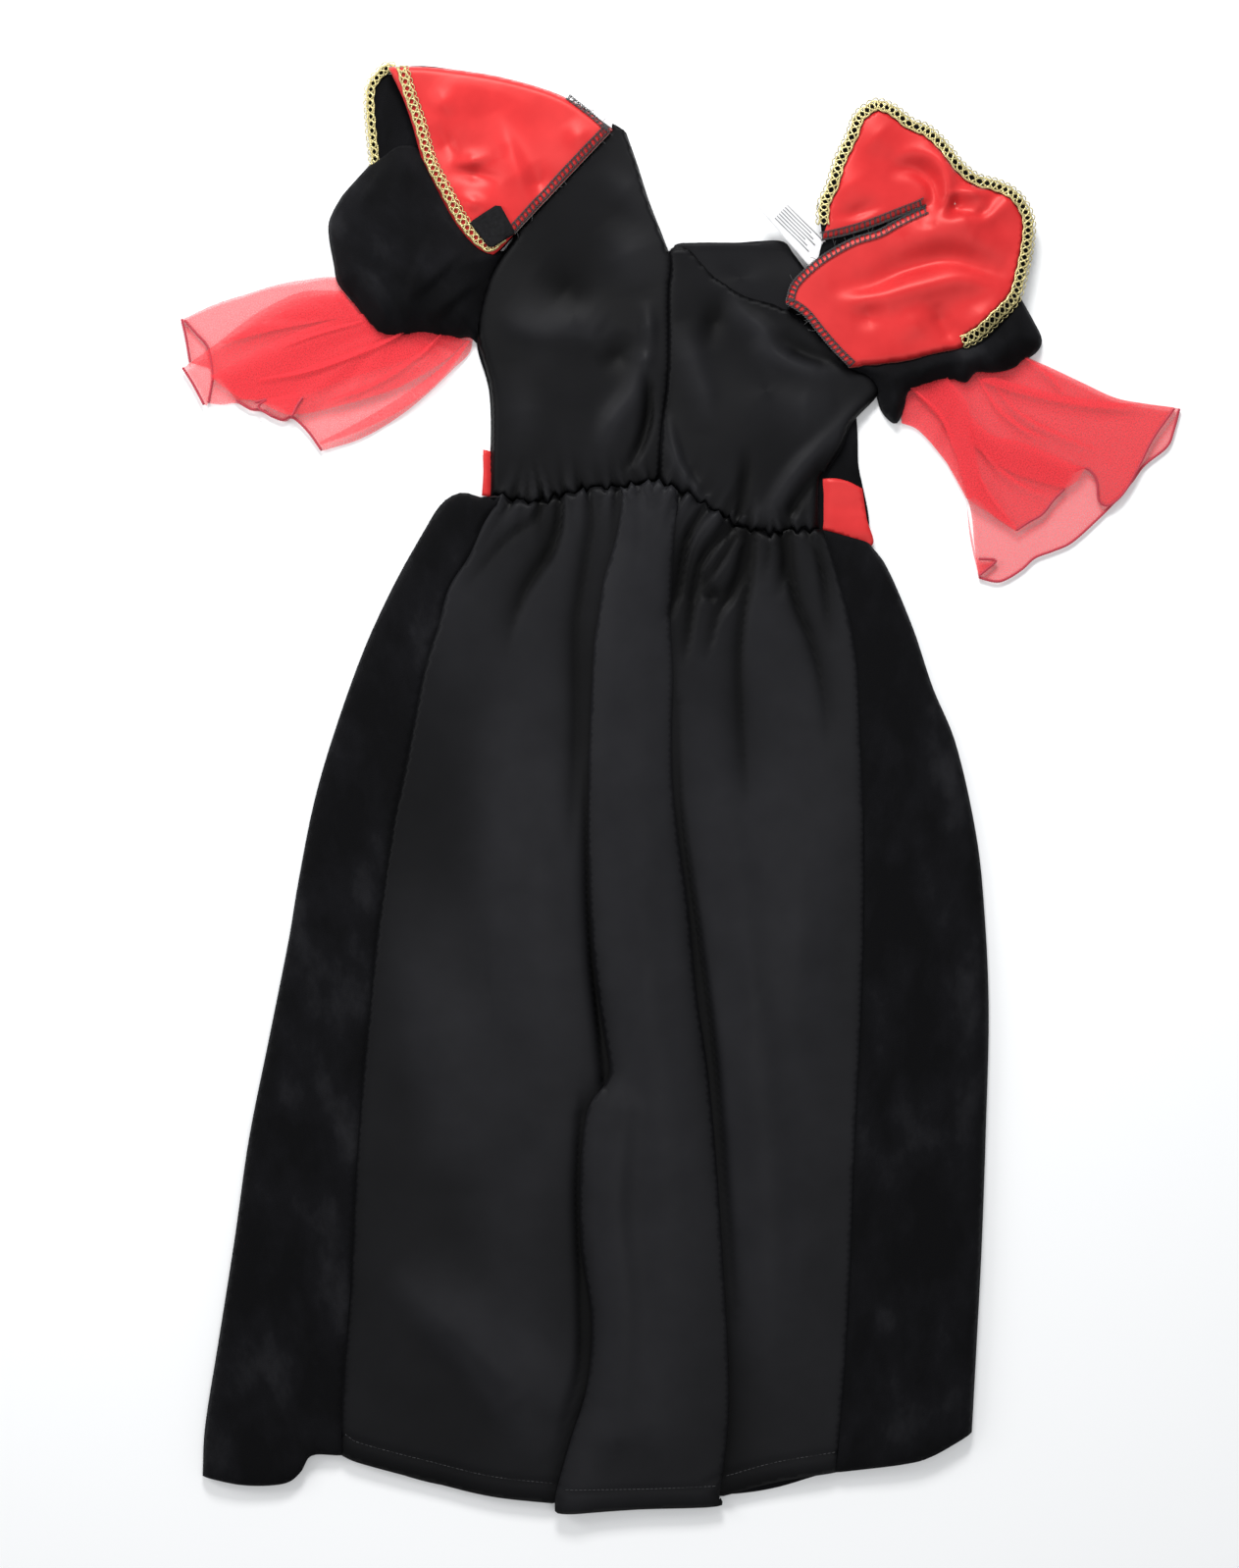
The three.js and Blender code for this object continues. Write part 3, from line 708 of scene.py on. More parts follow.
# The facing lies low, so its stored height is lifted 5.5 mm to keep the painted fold shade from darkening
# it.
front_neck_facing = cloth("front_neck_facing", loop([(-5, 370), (-4, 384), (12, 386), (41, 386),
    (54, 387), (73, 387), (81, 378), (92, 363)], [(92, 363), (84, 345), (70, 334), (46, 341),
    (24, 352), (-5, 370)]), facing_height, BLACK_SATIN, 2.6, shade_lift=5.5)
front_bodice = cloth("front_bodice", loop([(-138, 206), (-135, 239), (-136, 281), (-145, 317),
    (-139, 355), (-119, 382), (-60, 384), (-10, 379), (12, 384), (71, 385)], [(71, 385), (90, 362),
    (97, 322), (120, 293), (126, 260), (127, 231), (129, 170), (40, 184), (-138, 206)], pitch=5),
    at_level(2.6), VELVET, 7)
waist_casing = cloth("waist_casing", loop([(-134, 203), (-60, 206), (-16, 210), (40, 183), (98, 180)],
    [(98, 180), (94, 164), (0, 179), (-60, 188), (-130, 196), (-134, 203)], pitch=4),
    lambda x, y: 3.6 + 0.2 * noise(x, y, 9, 7), BLACK_SATIN, 3)
waist_elastic = cloth("waist_elastic", loop([(-128, 202), (-60, 196), (0, 186), (94, 172)], [(94, 172),
    (93, 166), (0, 180), (-60, 190), (-128, 196), (-128, 202)], pitch=4), at_level(2.9),
    ELASTIC, 3)


def sash_height(x, y):
    shown = np.where(x > 0, step(x, 98, 108), step(-x, 133, 137))
    return 1.5 + (3.0 + 1.1 * noise(x * 0.4, y, 9, 41)) * shown


sash = cloth("sash", loop([(-141, 206), (-140, 222), (-140, 238), (-136, 238), (-60, 224), (30, 212),
    (99, 218), (117, 217), (130, 211)], [(130, 211), (133, 190), (136, 170), (99, 182), (30, 180),
    (-60, 192), (-141, 206)], pitch=2.5), sash_height, RED_SATIN, 2.6, grain=1.4)
dress(back_bodice_left, "bodice")
dress(back_bodice_right, "bodice")
dress(front_neck_facing, "bodice")
dress(front_bodice, "bodice")
dress(waist_casing, "bodice")
dress(waist_elastic, "bodice")
dress(sash, "bodice")


# ---------------------------------------------------------------- collars
LEFT_CREST = [(-207, 511), (-177, 511), (-128, 504), (-83, 490), (-48, 467)]
LEFT_NEAR = [(-207, 509), (-197, 488), (-190, 468), (-182, 440), (-172, 421), (-160, 399), (-147, 383),
    (-136, 376), (-129, 379), (-117, 392)]
LEFT_FAR = [(-210, 513), (-219, 502), (-222, 491), (-221, 468), (-218, 440)]
RIGHT_OUTER = [(97, 397), (98, 413), (104, 426), (109, 443), (118, 462), (123, 475), (132, 483),
    (140, 486), (152, 482), (165, 472), (177, 467), (190, 455), (199, 443), (211, 433), (225, 429),
    (237, 423), (246, 413), (251, 400), (250, 382), (246, 362), (240, 343), (226, 328), (213, 316),
    (201, 310)]
RIGHT_LOW = [(201, 310), (182, 306), (162, 301), (141, 298), (120, 296)]
RIGHT_FRONT = [(120, 296), (108, 308), (97, 321), (87, 333), (75, 341)]
SLIT_UPPER = [(100, 386), (114, 389), (128, 393), (141, 397.5), (155, 403), (168, 408), (175, 411.5)]
SLIT_LOWER = [(75, 343), (79, 355), (88, 365), (99, 374), (110, 381), (124, 388), (140, 393),
    (152, 399.5), (165, 406), (174, 410)]

LEFT_LEAF_FOLDS = [
    ([(-131, 478), (-122, 452), (-113, 428), (-107, 408)], (0, 3, 4, 0), 7, 14),
    ([(-172, 470), (-165, 455), (-156, 441)], (0, -2.5, 0), 5, 7),
    ([(-166, 436), (-146, 434), (-126, 428)], (0, -3, 0), 4, 6),
    ([(-163, 442), (-150, 441), (-132, 447)], (0, 3, 0), 6, 4),
    ([(-158, 418), (-146, 412), (-134, 412)], (0, 3, 0), 6, 6),
    ([(-106, 440), (-100, 428), (-98, 414)], (0, -3, 0), 8, 8),
    ([(-176, 478), (-168, 484), (-158, 486)], (0, 2, 0), 8, 8),
    ([(-80, 470), (-72, 458), (-68, 448)], (0, 2, 0), 8, 8),
    ([(-190, 500), (-170, 496), (-140, 492), (-100, 478)], (0, 1.5, 1.5, 0), 10, 16),
]
RIGHT_LEAF_FOLDS = [
    ([(146, 433), (158, 437), (168, 436), (179, 427), (181, 414), (174, 400)], (0, -2.5, -4.5, -5, -4, -1),
        7, 6),
    ([(150, 442), (168, 448), (184, 441), (189, 420), (182, 404)], (0, 1.5, 4, 5, 2), 6, 7),
    ([(193, 424), (195, 412), (190, 400)], (0, -4, 0), 4, 4),
    ([(196, 420), (206, 420), (220, 417)], (3, 4, 0), 3, 6),
    ([(200, 406), (213, 405), (226, 416)], (-2, -5, -2), 5, 4),
    ([(232, 415), (216, 408), (200, 401), (184, 397)], (2, 4, 4, 1), 10, 5),
    ([(104, 351), (120, 352), (137, 355), (160, 366), (190, 373), (213, 366), (238, 357)],
        (0, -3, -5, -5, -5, -3, 0), 12, 6),
    ([(150, 378), (175, 389), (205, 385), (232, 372)], (0, 3, 4, 0), 14, 12),
    ([(112, 344), (140, 345), (170, 352), (200, 358), (236, 352)], (0, 3, 4, 4, 0), 8, 10),
    ([(120, 328), (134, 332), (148, 334)], (0, -3, 0), 8, 8),
    ([(180, 341), (184, 330), (190, 320), (198, 312)], (0, -3, -3, 0), 8, 5),
    ([(238, 354), (228, 340), (216, 328), (205, 316)], (0, 3, 4, 0), 4, 12),
    ([(150, 318), (165, 326), (176, 340)], (0, 2.5, 0), 10, 10),
    ([(112, 440), (122, 425), (132, 412)], (0, 2, 0), 12, 10),
    ([(126, 470), (140, 458), (150, 446)], (0, 2.5, 0), 12, 12),
    ([(106, 402), (126, 405), (146, 412)], (0, -2.5, 0), 6, 3),
]


def folded(x, y, folds, level, seed):
    z = level + 1.0 * noise(x, y, 46, seed) + 0.4 * noise(x, y, 21, seed + 1)
    return with_folds(z, x, y, folds, 1.25)


def left_satin(x, y):
    crest = rolled(x, y, LEFT_CREST, 6)
    near = 0.72 + 0.28 * rolled(x, y, LEFT_NEAR, 9)
    neck = 0.7 + 0.3 * rolled(x, y, NECK_SEAM_LEFT, 8)
    return 4.6 + (folded(x, y, LEFT_LEAF_FOLDS, 13.5, 51) - 4.6) * crest * near * neck


def right_satin(x, y):
    outer = 0.62 + 0.38 * rolled(x, y, RIGHT_OUTER, 16)
    low = 0.5 + 0.5 * rolled(x, y, RIGHT_LOW, 5)
    slit = 0.75 + 0.25 * rolled(x, y, SLIT_LOWER, 7) * rolled(x, y, SLIT_UPPER, 7)
    return 4.8 + (folded(x, y, RIGHT_LEAF_FOLDS, 16.0, 61) - 4.8) * outer * low * slit


def offset(path, distance, pitch=3.0):
    """The smooth path moved to its left by distance, with no loops at inward corners."""
    line = smooth(path, pitch)
    out = line + distance * leftward(tangents(line))
    d, _ = nearest(out[:, 0], out[:, 1], line)
    return out[np.abs(d) > 0.93 * abs(distance)]


LEFT_TIP = [(-210, 513), (-207, 511)]
left_leaf = loop(LEFT_CREST, NECK_SEAM_LEFT[::-1], LEFT_NEAR[::-1], pitch=2.4)
left_back = loop(LEFT_FAR, [(-218, 440), (-192, 436), (-170, 402), (-137, 378), (-117, 392)],
    NECK_SEAM_LEFT, LEFT_CREST[::-1], LEFT_TIP[::-1])
right_back = loop([(101, 386), (98, 413)], offset(RIGHT_OUTER, -1.6)[3:-2],
    RIGHT_LOW, RIGHT_FRONT, [(75, 341), (82, 353), (96, 366)])
right_leaf = loop(offset(RIGHT_OUTER, -8.6, 2.4)[2:-2],
    RIGHT_LOW, RIGHT_FRONT, SLIT_LOWER, SLIT_UPPER[::-1], pitch=2.4)
collar_left_facing = cloth("collar_left_facing", left_leaf, left_satin, RED_SATIN,
    2.4, grain=0.9)
collar_left_stiffener = cloth("collar_left_stiffener", loop(offset(LEFT_CREST, -6),
    NECK_SEAM_LEFT[::-1], offset(LEFT_NEAR, 7)[3:-3][::-1]),
    lambda x, y: left_satin(x, y) - 1.5, INTERFACING, 5)


def left_velvet(x, y):
    """The under leaf, velvet side up, which turns up into the crest."""
    ripples = 2.0 * noise(x, y, 30, 57) * rolled(x, y, LEFT_FAR, 12)
    return 2.6 + ripples + 2.4 * np.exp(-away_from(x, y, LEFT_CREST) / 4)


def right_velvet(x, y):
    return right_satin(x, y) - 3.0


collar_left_backing = cloth("collar_left_backing", left_back, left_velvet, VELVET, 4)
collar_right_facing = cloth("collar_right_facing", right_leaf, right_satin, RED_SATIN,
    2.4, grain=-0.5)
collar_right_stiffener = cloth("collar_right_stiffener", loop(offset(RIGHT_OUTER, -12)[6:-6],
    [(192, 308), (130, 299), (122, 299), (82, 340)], SLIT_LOWER, SLIT_UPPER[::-1]),
    lambda x, y: right_satin(x, y) - 1.5, INTERFACING, 5)
collar_right_backing = cloth("collar_right_backing", right_back, right_velvet, VELVET, 4)

dress(collar_left_facing, "left_collar")
dress(collar_left_stiffener, "left_collar")
dress(collar_left_backing, "left_collar")
dress(collar_right_facing, "right_collar")
dress(collar_right_stiffener, "right_collar")
dress(collar_right_backing, "right_collar")


# ---------------------------------------------------------------- gold lace and overlocking
def strand(at, length, across, up, pitch=0.7, first=0.0, last=0.0):
    """A thread along a path: across(s) is its offset to the left, up(s) its height above the cloth."""
    s = np.arange(first, length - last, pitch)
    point, tangent, left, level = at(s)
    flat = point + across(s)[:, None] * left
    return np.column_stack([flat, level(flat[:, 0], flat[:, 1]) + up(s)])


def wave(amplitude, period, phase, centre=0.0):
    return lambda s: centre + amplitude * np.sin(2 * math.pi * s / period + phase)


def lace(name, path, centre, level, width, node, body, outward):
    """Knitted metallic braid: waves crossing between two edge cords, with loops on the outward side."""
    at, length = on_path(smooth(path, 1.5), level)
    half = width / 2 - 0.6
    paths, radii = [], []
    for k in range(2):
        turn = k * math.pi
        thick, thin = (wave(half * reach, BRAID_REPEAT, turn, centre) for reach in (0.8, 0.62))
        paths.append(strand(at, length, thick, wave(0.5, BRAID_REPEAT, k * 3.1, 1.3)))
        paths.append(strand(at, length, thin, wave(0.4, 2.4, k, 1.2)))
        radii += [0.62, 0.4]
    for side in (-1, 1):
        for k in range(2):
            twist = wave(0.5, 2.4, k * math.pi, centre + side * half * 0.9)
            scallop = wave(0.35 * side, BRAID_REPEAT, math.pi / 2)
            across = lambda s, f=twist, g=scallop: f(s) + g(s)
            paths.append(strand(at, length, across, wave(0.4, 2.4, k * math.pi, 1.3)))
            radii.append(0.44)
    picot = lambda s: centre + outward * (half + 2.1 * np.abs(np.sin(math.pi * s / 5.0)) ** 0.6)
    paths.append(strand(at, length, picot, wave(0.3, 5.0, 0, 0.9), 0.45))
    radii.append(0.36)
    obj = tubes(name, paths, radii, GOLD, 5)
    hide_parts(node)
    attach(obj, body)
    return obj


def overlock(name, path, level, nodes, body, width=5.4, pitch=3.9, seed=1):
    """Overlocked edge: slanting rungs between two looped chains, with the odd frayed end."""
    at, length = on_path(smooth(path, 1.5), level)
    random = np.random.default_rng(seed)
    paths, radii = [], []
    for s in np.arange(0.6, length - 1, pitch):
        for shift in (0, 0.8):
            t = np.linspace(0, 1, 7)
            point, tangent, left, z = at(np.clip(s + shift + 1.1 * t + random.normal(0, 0.12), 0, length))
            flat = point + left * (t * width)[:, None]
            over = z(flat[:, 0], flat[:, 1]) + 0.3 + 0.5 * np.sin(math.pi * t)
            paths.append(np.column_stack([flat, over]))
            radii.append(0.32)
    for edge_at in (0.1, 0.9 * width):
        for phase in (0.0, math.pi):
            height = wave(0.3, pitch, phase + 1.5, 0.9)
            paths.append(strand(at, length, wave(0.55, pitch, phase, edge_at), height))
            radii.append(0.3)
    for _ in range(int(length / 14)):
        s = random.uniform(0, length)
        t = np.linspace(0, 1, 6)
        point, tangent, left, z = at(np.full(6, s))
        reach = random.uniform(2, 5)
        bent = random.normal(0, 2) * t**2
        flat = point - left * (t * reach)[:, None] + tangent * bent[:, None]
        paths.append(np.column_stack([flat, z(point[:, 0], point[:, 1]) + 0.8 + 0.6 * t]))
        radii.append(0.16)
    obj = tubes(name, paths, radii, BLACK_THREAD, 5)
    if nodes:
        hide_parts(*nodes)
    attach(obj, body)
    return obj


lace("collar_left_trim_upper_braid", [(-203, 509)] + LEFT_NEAR[1:-1] + [(-122, 385)],
    5.0, left_satin, 7.4, "collar_left_trim_upper", "left_collar", 1)
lace("collar_left_trim_lower_braid", [(-203, 511), (-209, 512)] + LEFT_FAR[1:],
    1.5, left_velvet, 6.4, "collar_left_trim_lower", "left_collar", -1)
lace("collar_right_trim_braid", RIGHT_OUTER, -4.6, right_satin, 8.2, "collar_right_trim",
    "right_collar", 1)
overlock("collar_left_overlock_threads", [(-118, 391.5), (-83, 429.5), (-49, 465)],
    left_satin, ("collar_left_overlock",), "left_collar", seed=2)
overlock("collar_right_overlock_upper_threads",
    SLIT_UPPER, right_satin, ("collar_right_overlock_upper",), "right_collar", seed=3)
overlock("collar_right_overlock_lower_threads", SLIT_LOWER[::-1],
    right_satin, ("collar_right_overlock_lower",), "right_collar", seed=4)
overlock("collar_right_front_threads", RIGHT_FRONT[::-1], right_satin, (), "right_collar", seed=5)

overlock("collar_left_frayed_threads", [(-50, 466), (-62, 477), (-79, 490)], left_satin, (),
    "left_collar", width=3.6, seed=6)

HOOK_OUTLINE = [(-149, 398), (-147, 400), (-131, 410.5), (-127, 410), (-117.5, 393), (-118, 390),
    (-132, 381), (-136, 381), (-149, 398)]
hook_tape = cloth("hook_tape", loop(*zip(HOOK_OUTLINE, HOOK_OUTLINE[1:]), pitch=1.5),
    lambda x, y: left_satin(x, y) + 2.6, HOOK_TAPE, 2, thick=1.8)
dress(hook_tape, "left_collar")
loop_tape = cloth("loop_tape", loop([(132, 410), (152, 418)], [(152, 418), (147, 438)], [(147, 438),
    (126, 430)], [(126, 430), (132, 410)], pitch=1.5), at_level(2.4), HOOK_TAPE,
    3, thick=1.8)
dress(loop_tape, "right_collar")


def label_height(x, y):
    """The label is sewn down at its right end and its free end curls up a little."""
    away = np.hypot(x - 100, y - 374)
    return 10.5 + 3.2 * step(away, 0, 22) + 2.2 * step(away, 30, 52) - 0.02 * (x - 80)


care_label = cloth("care_label", loop([(53, 411), (71, 413)], [(71, 413), (108, 382)], [(108, 382),
    (93, 367)], [(93, 367), (53, 411)], pitch=2), label_height, LABEL_TAPE,
    2.5, thick=0.4, grain=0.85)
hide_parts("care_label")
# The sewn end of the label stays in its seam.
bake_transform(care_label)
LABEL_LINES = thread("label_grey_marks", (0.16, 0.16, 0.17), (0.3, 0.3, 0.31), 0.8)
LABEL_START = np.array((60.0, 407.0))
LABEL_END = np.array((99.0, 369.5))
LABEL_ACROSS = np.array((0.69, 0.72))
marks = []
for row in range(7):
    share = np.linspace(0.16, 0.78 - 0.07 * (row % 3), 14)
    line = LABEL_START + LABEL_ACROSS * (1.2 + 2.1 * row) + (LABEL_END - LABEL_START) * share[:, None]
    marks.append(np.column_stack([line, label_height(line[:, 0], line[:, 1]) + 0.12]))
label_marks = tubes("care_label_marks", marks, 0.4, LABEL_LINES, 5)
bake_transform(label_marks)


# ---------------------------------------------------------------- puffs
LEFT_PUFF = [[(-222, 441), (-232, 430), (-242, 418), (-250, 402), (-250, 389), (-247, 373),
    (-244, 358), (-234, 345), (-227, 335), (-220, 326), (-212, 320), (-197, 319), (-185, 321),
    (-172, 319), (-160, 318), (-150, 319), (-144, 314)], [(-144, 314), (-140, 337), (-132, 364),
    (-124, 380)], [(-124, 380), (-134, 382), (-144, 388), (-156, 402), (-168, 424), (-180, 447),
    (-190, 456)], [(-190, 456), (-201, 455), (-211, 448), (-222, 441)]]
RIGHT_PUFF = [[(243, 347), (252, 331), (258, 318), (255, 309), (245, 302), (237, 296), (223, 293),
    (211, 293), (204, 286), (194, 288), (182, 286), (169, 282), (163, 279), (160, 268), (155, 258),
    (149, 260), (143, 268), (139, 281), (133, 289), (120, 295)], [(120, 295), (122, 301), (141, 303),
    (162, 306), (182, 311), (201, 315), (213, 321), (226, 333), (238, 348), (243, 347)]]
LEFT_PUFF_FOLDS = [
    ([(-174, 392), (-181, 372), (-189, 356), (-193, 337)], (0, 3, 4, 2), 9, 2),
    ([(-150, 380), (-162, 369), (-172, 358), (-186, 346)], (0, 3, 4, 1), 2, 9),
    ([(-134, 362), (-145, 355), (-164, 339), (-181, 325)], (0, 3, 4, 2), 2, 8),
    ([(-201, 450), (-212, 433), (-219, 421), (-228, 405)], (0, 2.5, 2, 0), 7, 3),
    ([(-222, 352), (-212, 338), (-207, 326)], (0, 3, 2.5), 7, 3),
    ([(-206, 358), (-204, 342), (-206, 326)], (0, -2, -2.5), 5, 5),
    ([(-150, 345), (-153, 332), (-160, 322)], (0, 2, 2), 5, 5),
]
RIGHT_PUFF_FOLDS = [
    ([(146, 299), (146, 287), (141, 274)], (2, 3, 2), 5, 4),
    ([(176, 300), (174, 292), (168, 284)], (2, 3, 3), 6, 4),
    ([(128, 299), (135, 294), (140, 283)], (3, 3, 2), 4, 4),
    ([(200, 306), (206, 298), (206, 288)], (1, 2.5, 3), 6, 5),
    ([(226, 322), (228, 308), (222, 296)], (0, 2.5, 3), 8, 6),
    ([(150, 262), (153, 272), (157, 280)], (3, 3, 1), 3, 4),
    ([(190, 300), (192, 294), (193, 288)], (-1, -3, -3), 4, 4),
]


def dome(outline, folds, height, radius, seed):
    """A stuffed, collapsed shape: steep at its outline and flat-topped inside."""

    def level(x, y):
        ring = np.vstack([outline, outline[:1]])
        d, _ = nearest(x, y, ring)
        t = np.clip(np.abs(d) / radius, 0, 1)
        round_top = (1 - (1 - t) ** 2) ** 0.62
        z = height * round_top * (1 + 0.06 * noise(x, y, 34, seed))
        z = z + 0.8 * noise(x, y, 13, seed + 1) * round_top
        return 2.4 + with_folds(z, x, y, folds, np.minimum(1, 3 * t))

    return level


def puff(side, runs, folds, height, radius, seed):
    outline = loop(*runs, pitch=2.6)
    crown = dome(outline, folds, height, radius, seed)
    top = cloth(f"puff_{side}", outline, crown, VELVET, 2.8, grain=0.6)
    under = cloth(f"puff_{side}_under", outline, at_level(1.4), VELVET, 7)
    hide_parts(f"puff_{side}")
    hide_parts(f"puff_{side}")
    for piece in (top, under):
        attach(piece, "bodice")
    return top, under


left_puff = puff("left", LEFT_PUFF, LEFT_PUFF_FOLDS, 27, 46, 71)
right_puff = puff("right", RIGHT_PUFF, RIGHT_PUFF_FOLDS, 17, 26, 81)


# ---------------------------------------------------------------- organza flounces
def layers(name, regions, material, pitch=3.0):
    """Overlapping layers of one gathered sheet. Each region is its outline's runs and its level(x, y)."""
    vertices, faces, uv = [], [], []
    for k, (runs, level) in enumerate(regions):
        outline = loop(*runs, pitch=2.2)
        part = cloth(f"{name}_layer", outline, level, material, pitch, thick=0, grain=0.5 * k)
        mesh = part.data
        base = len(vertices)
        vertices += [tuple(c / MM for c in v.co) for v in mesh.vertices]
        faces += [tuple(base + i for i in p.vertices) for p in mesh.polygons]
        coords = {}
        for loop_item, item in zip(mesh.loops, mesh.uv_layers["uv"].data):
            coords[loop_item.vertex_index] = tuple(item.uv)
        uv += [coords[i] for i in range(len(mesh.vertices))]
        bpy.data.objects.remove(part)
    obj = as_object(name + "_cloth", vertices, faces, uv, material)
    return obj


def rays(x, y, centre, count, height, seed):
    """Radial ripples about the gathered end, rising towards the hem."""
    angle = np.arctan2(y - centre[1], x - centre[0])
    reach = np.clip(np.hypot(x - centre[0], y - centre[1]) / SLEEVE_REACH, 0, 1)
    wobble = 0.9 * noise(angle * 60, reach * 30, 22, seed)
    ripple = np.sin(count * angle + wobble * 3 + seed) + 0.45 * np.sin(2.3 * count * angle + seed * 2)
    return height * ripple * (0.25 + 0.75 * reach)


def strip(path, width):
    """A narrow lens-shaped run of outline round a path, as runs for loop."""
    line = smooth(path, 4)
    t = np.linspace(0, 1, len(line))
    normal = leftward(tangents(line))
    half = (0.5 * width * (0.25 + 0.75 * np.sin(math.pi * t)))[:, None]
    return [[tuple(p) for p in line + half * normal], [tuple(p) for p in (line - half * normal)[::-1]]]


def flat_at(level, centre, count, height, seed):
    return lambda x, y: level + 1.2 + np.clip(rays(x, y, centre, count, height, seed), -1.1, 3)


LEFT_CENTRE = (-200.0, 330.0)
RIGHT_CENTRE = (200.0, 300.0)
LEFT_SLEEVE_TOP = [(-240, 352), (-246, 362), (-269, 360), (-290, 356), (-309, 350), (-331, 343),
    (-355, 332)]
LEFT_SLEEVE_FOOT = [(-147, 322), (-160, 326), (-185, 329), (-212, 330), (-232, 343), (-240, 352)]
left_regions = [
    ([LEFT_SLEEVE_TOP, [(-355, 332), (-352, 319), (-349, 301)], [(-349, 301), (-334, 296), (-333, 288),
        (-336, 272)], [(-336, 272), (-326, 271), (-316, 272), (-306, 267), (-298, 266), (-291, 262),
        (-281, 259), (-276, 261), (-266, 253), (-255, 238)], [(-255, 238), (-227, 247), (-201, 262),
        (-181, 278), (-162, 296), (-150, 308), (-147, 322)], LEFT_SLEEVE_FOOT],
        flat_at(0.6, LEFT_CENTRE, 9, 0.5, 1)),
    ([[(-240, 352), (-270, 351), (-301, 336), (-329, 315), (-354, 297)], [(-354, 297), (-347, 286),
        (-339, 271), (-336, 272)], [(-336, 272), (-330, 290), (-316, 274)], [(-316, 274), (-296, 275),
        (-270, 277), (-238, 289), (-206, 299), (-189, 306), (-165, 315), (-150, 322)], LEFT_SLEEVE_FOOT],
        flat_at(2.4, LEFT_CENTRE, 10, 0.8, 2)),
    ([[(-222, 336), (-250, 330), (-283, 318), (-312, 302), (-334, 291)], [(-334, 291), (-322, 281),
        (-312, 275)], [(-312, 275), (-290, 271), (-274, 264), (-250, 268), (-205, 281), (-170, 300),
        (-152, 316)], [(-152, 316), (-190, 328), (-222, 336)]], flat_at(4.6, LEFT_CENTRE, 11, 0.8, 3)),
    ([[(-240, 350), (-262, 346), (-293, 331), (-330, 313)], [(-330, 313), (-290, 323), (-255, 330),
        (-228, 334)], [(-228, 334), (-240, 350)]], flat_at(4.8, LEFT_CENTRE, 8, 0.8, 4)),
    ([[(-300, 273), (-282, 264), (-274, 263)], [(-274, 263), (-269, 275), (-272, 278)], [(-272, 278),
        (-286, 276), (-300, 273)]], flat_at(6.2, LEFT_CENTRE, 6, 0.5, 5)),
    (strip([(-256, 243), (-228, 255), (-196, 273), (-170, 293), (-150, 316)], 8),
        flat_at(5.4, LEFT_CENTRE, 5, 0.3, 6)),
    (strip([(-283, 312), (-256, 322), (-226, 330)], 3), flat_at(7.0, LEFT_CENTRE, 5, 0.3, 6)),
    (strip([(-300, 288), (-262, 296), (-215, 313), (-190, 325)], 4), flat_at(7.2, LEFT_CENTRE, 5, 0.3, 7)),
    (strip([(-250, 273), (-220, 284), (-188, 304), (-170, 320)], 3.5), flat_at(7.4, LEFT_CENTRE, 5, 0.3, 8)),
]
RIGHT_TOP = [(243, 311), (247, 305), (265, 297), (286, 287), (310, 276), (330, 272), (352, 269),
    (356, 268)]
RIGHT_HEM = [(356, 268), (352, 253), (347, 241), (331, 228), (322, 216), (310, 202), (296, 188),
    (279, 173), (266, 167), (253, 162), (244, 154), (233, 147), (225, 145), (213, 148)]
RIGHT_SIDE = [(213, 148), (210, 172), (206, 201), (190, 230), (171, 252), (158, 258)]
RIGHT_FOOT = [(158, 262), (164, 284), (182, 292), (204, 294), (222, 300), (243, 311)]
FRONT_SCALLOP = [(352, 268), (337, 247), (327, 227), (318, 211), (310, 202), (303, 199), (298, 204),
    (297, 216), (293, 223), (287, 226), (281, 223)]
FRONT_HEM = [(274, 211), (266, 203), (258, 193), (248, 187), (239, 181)]
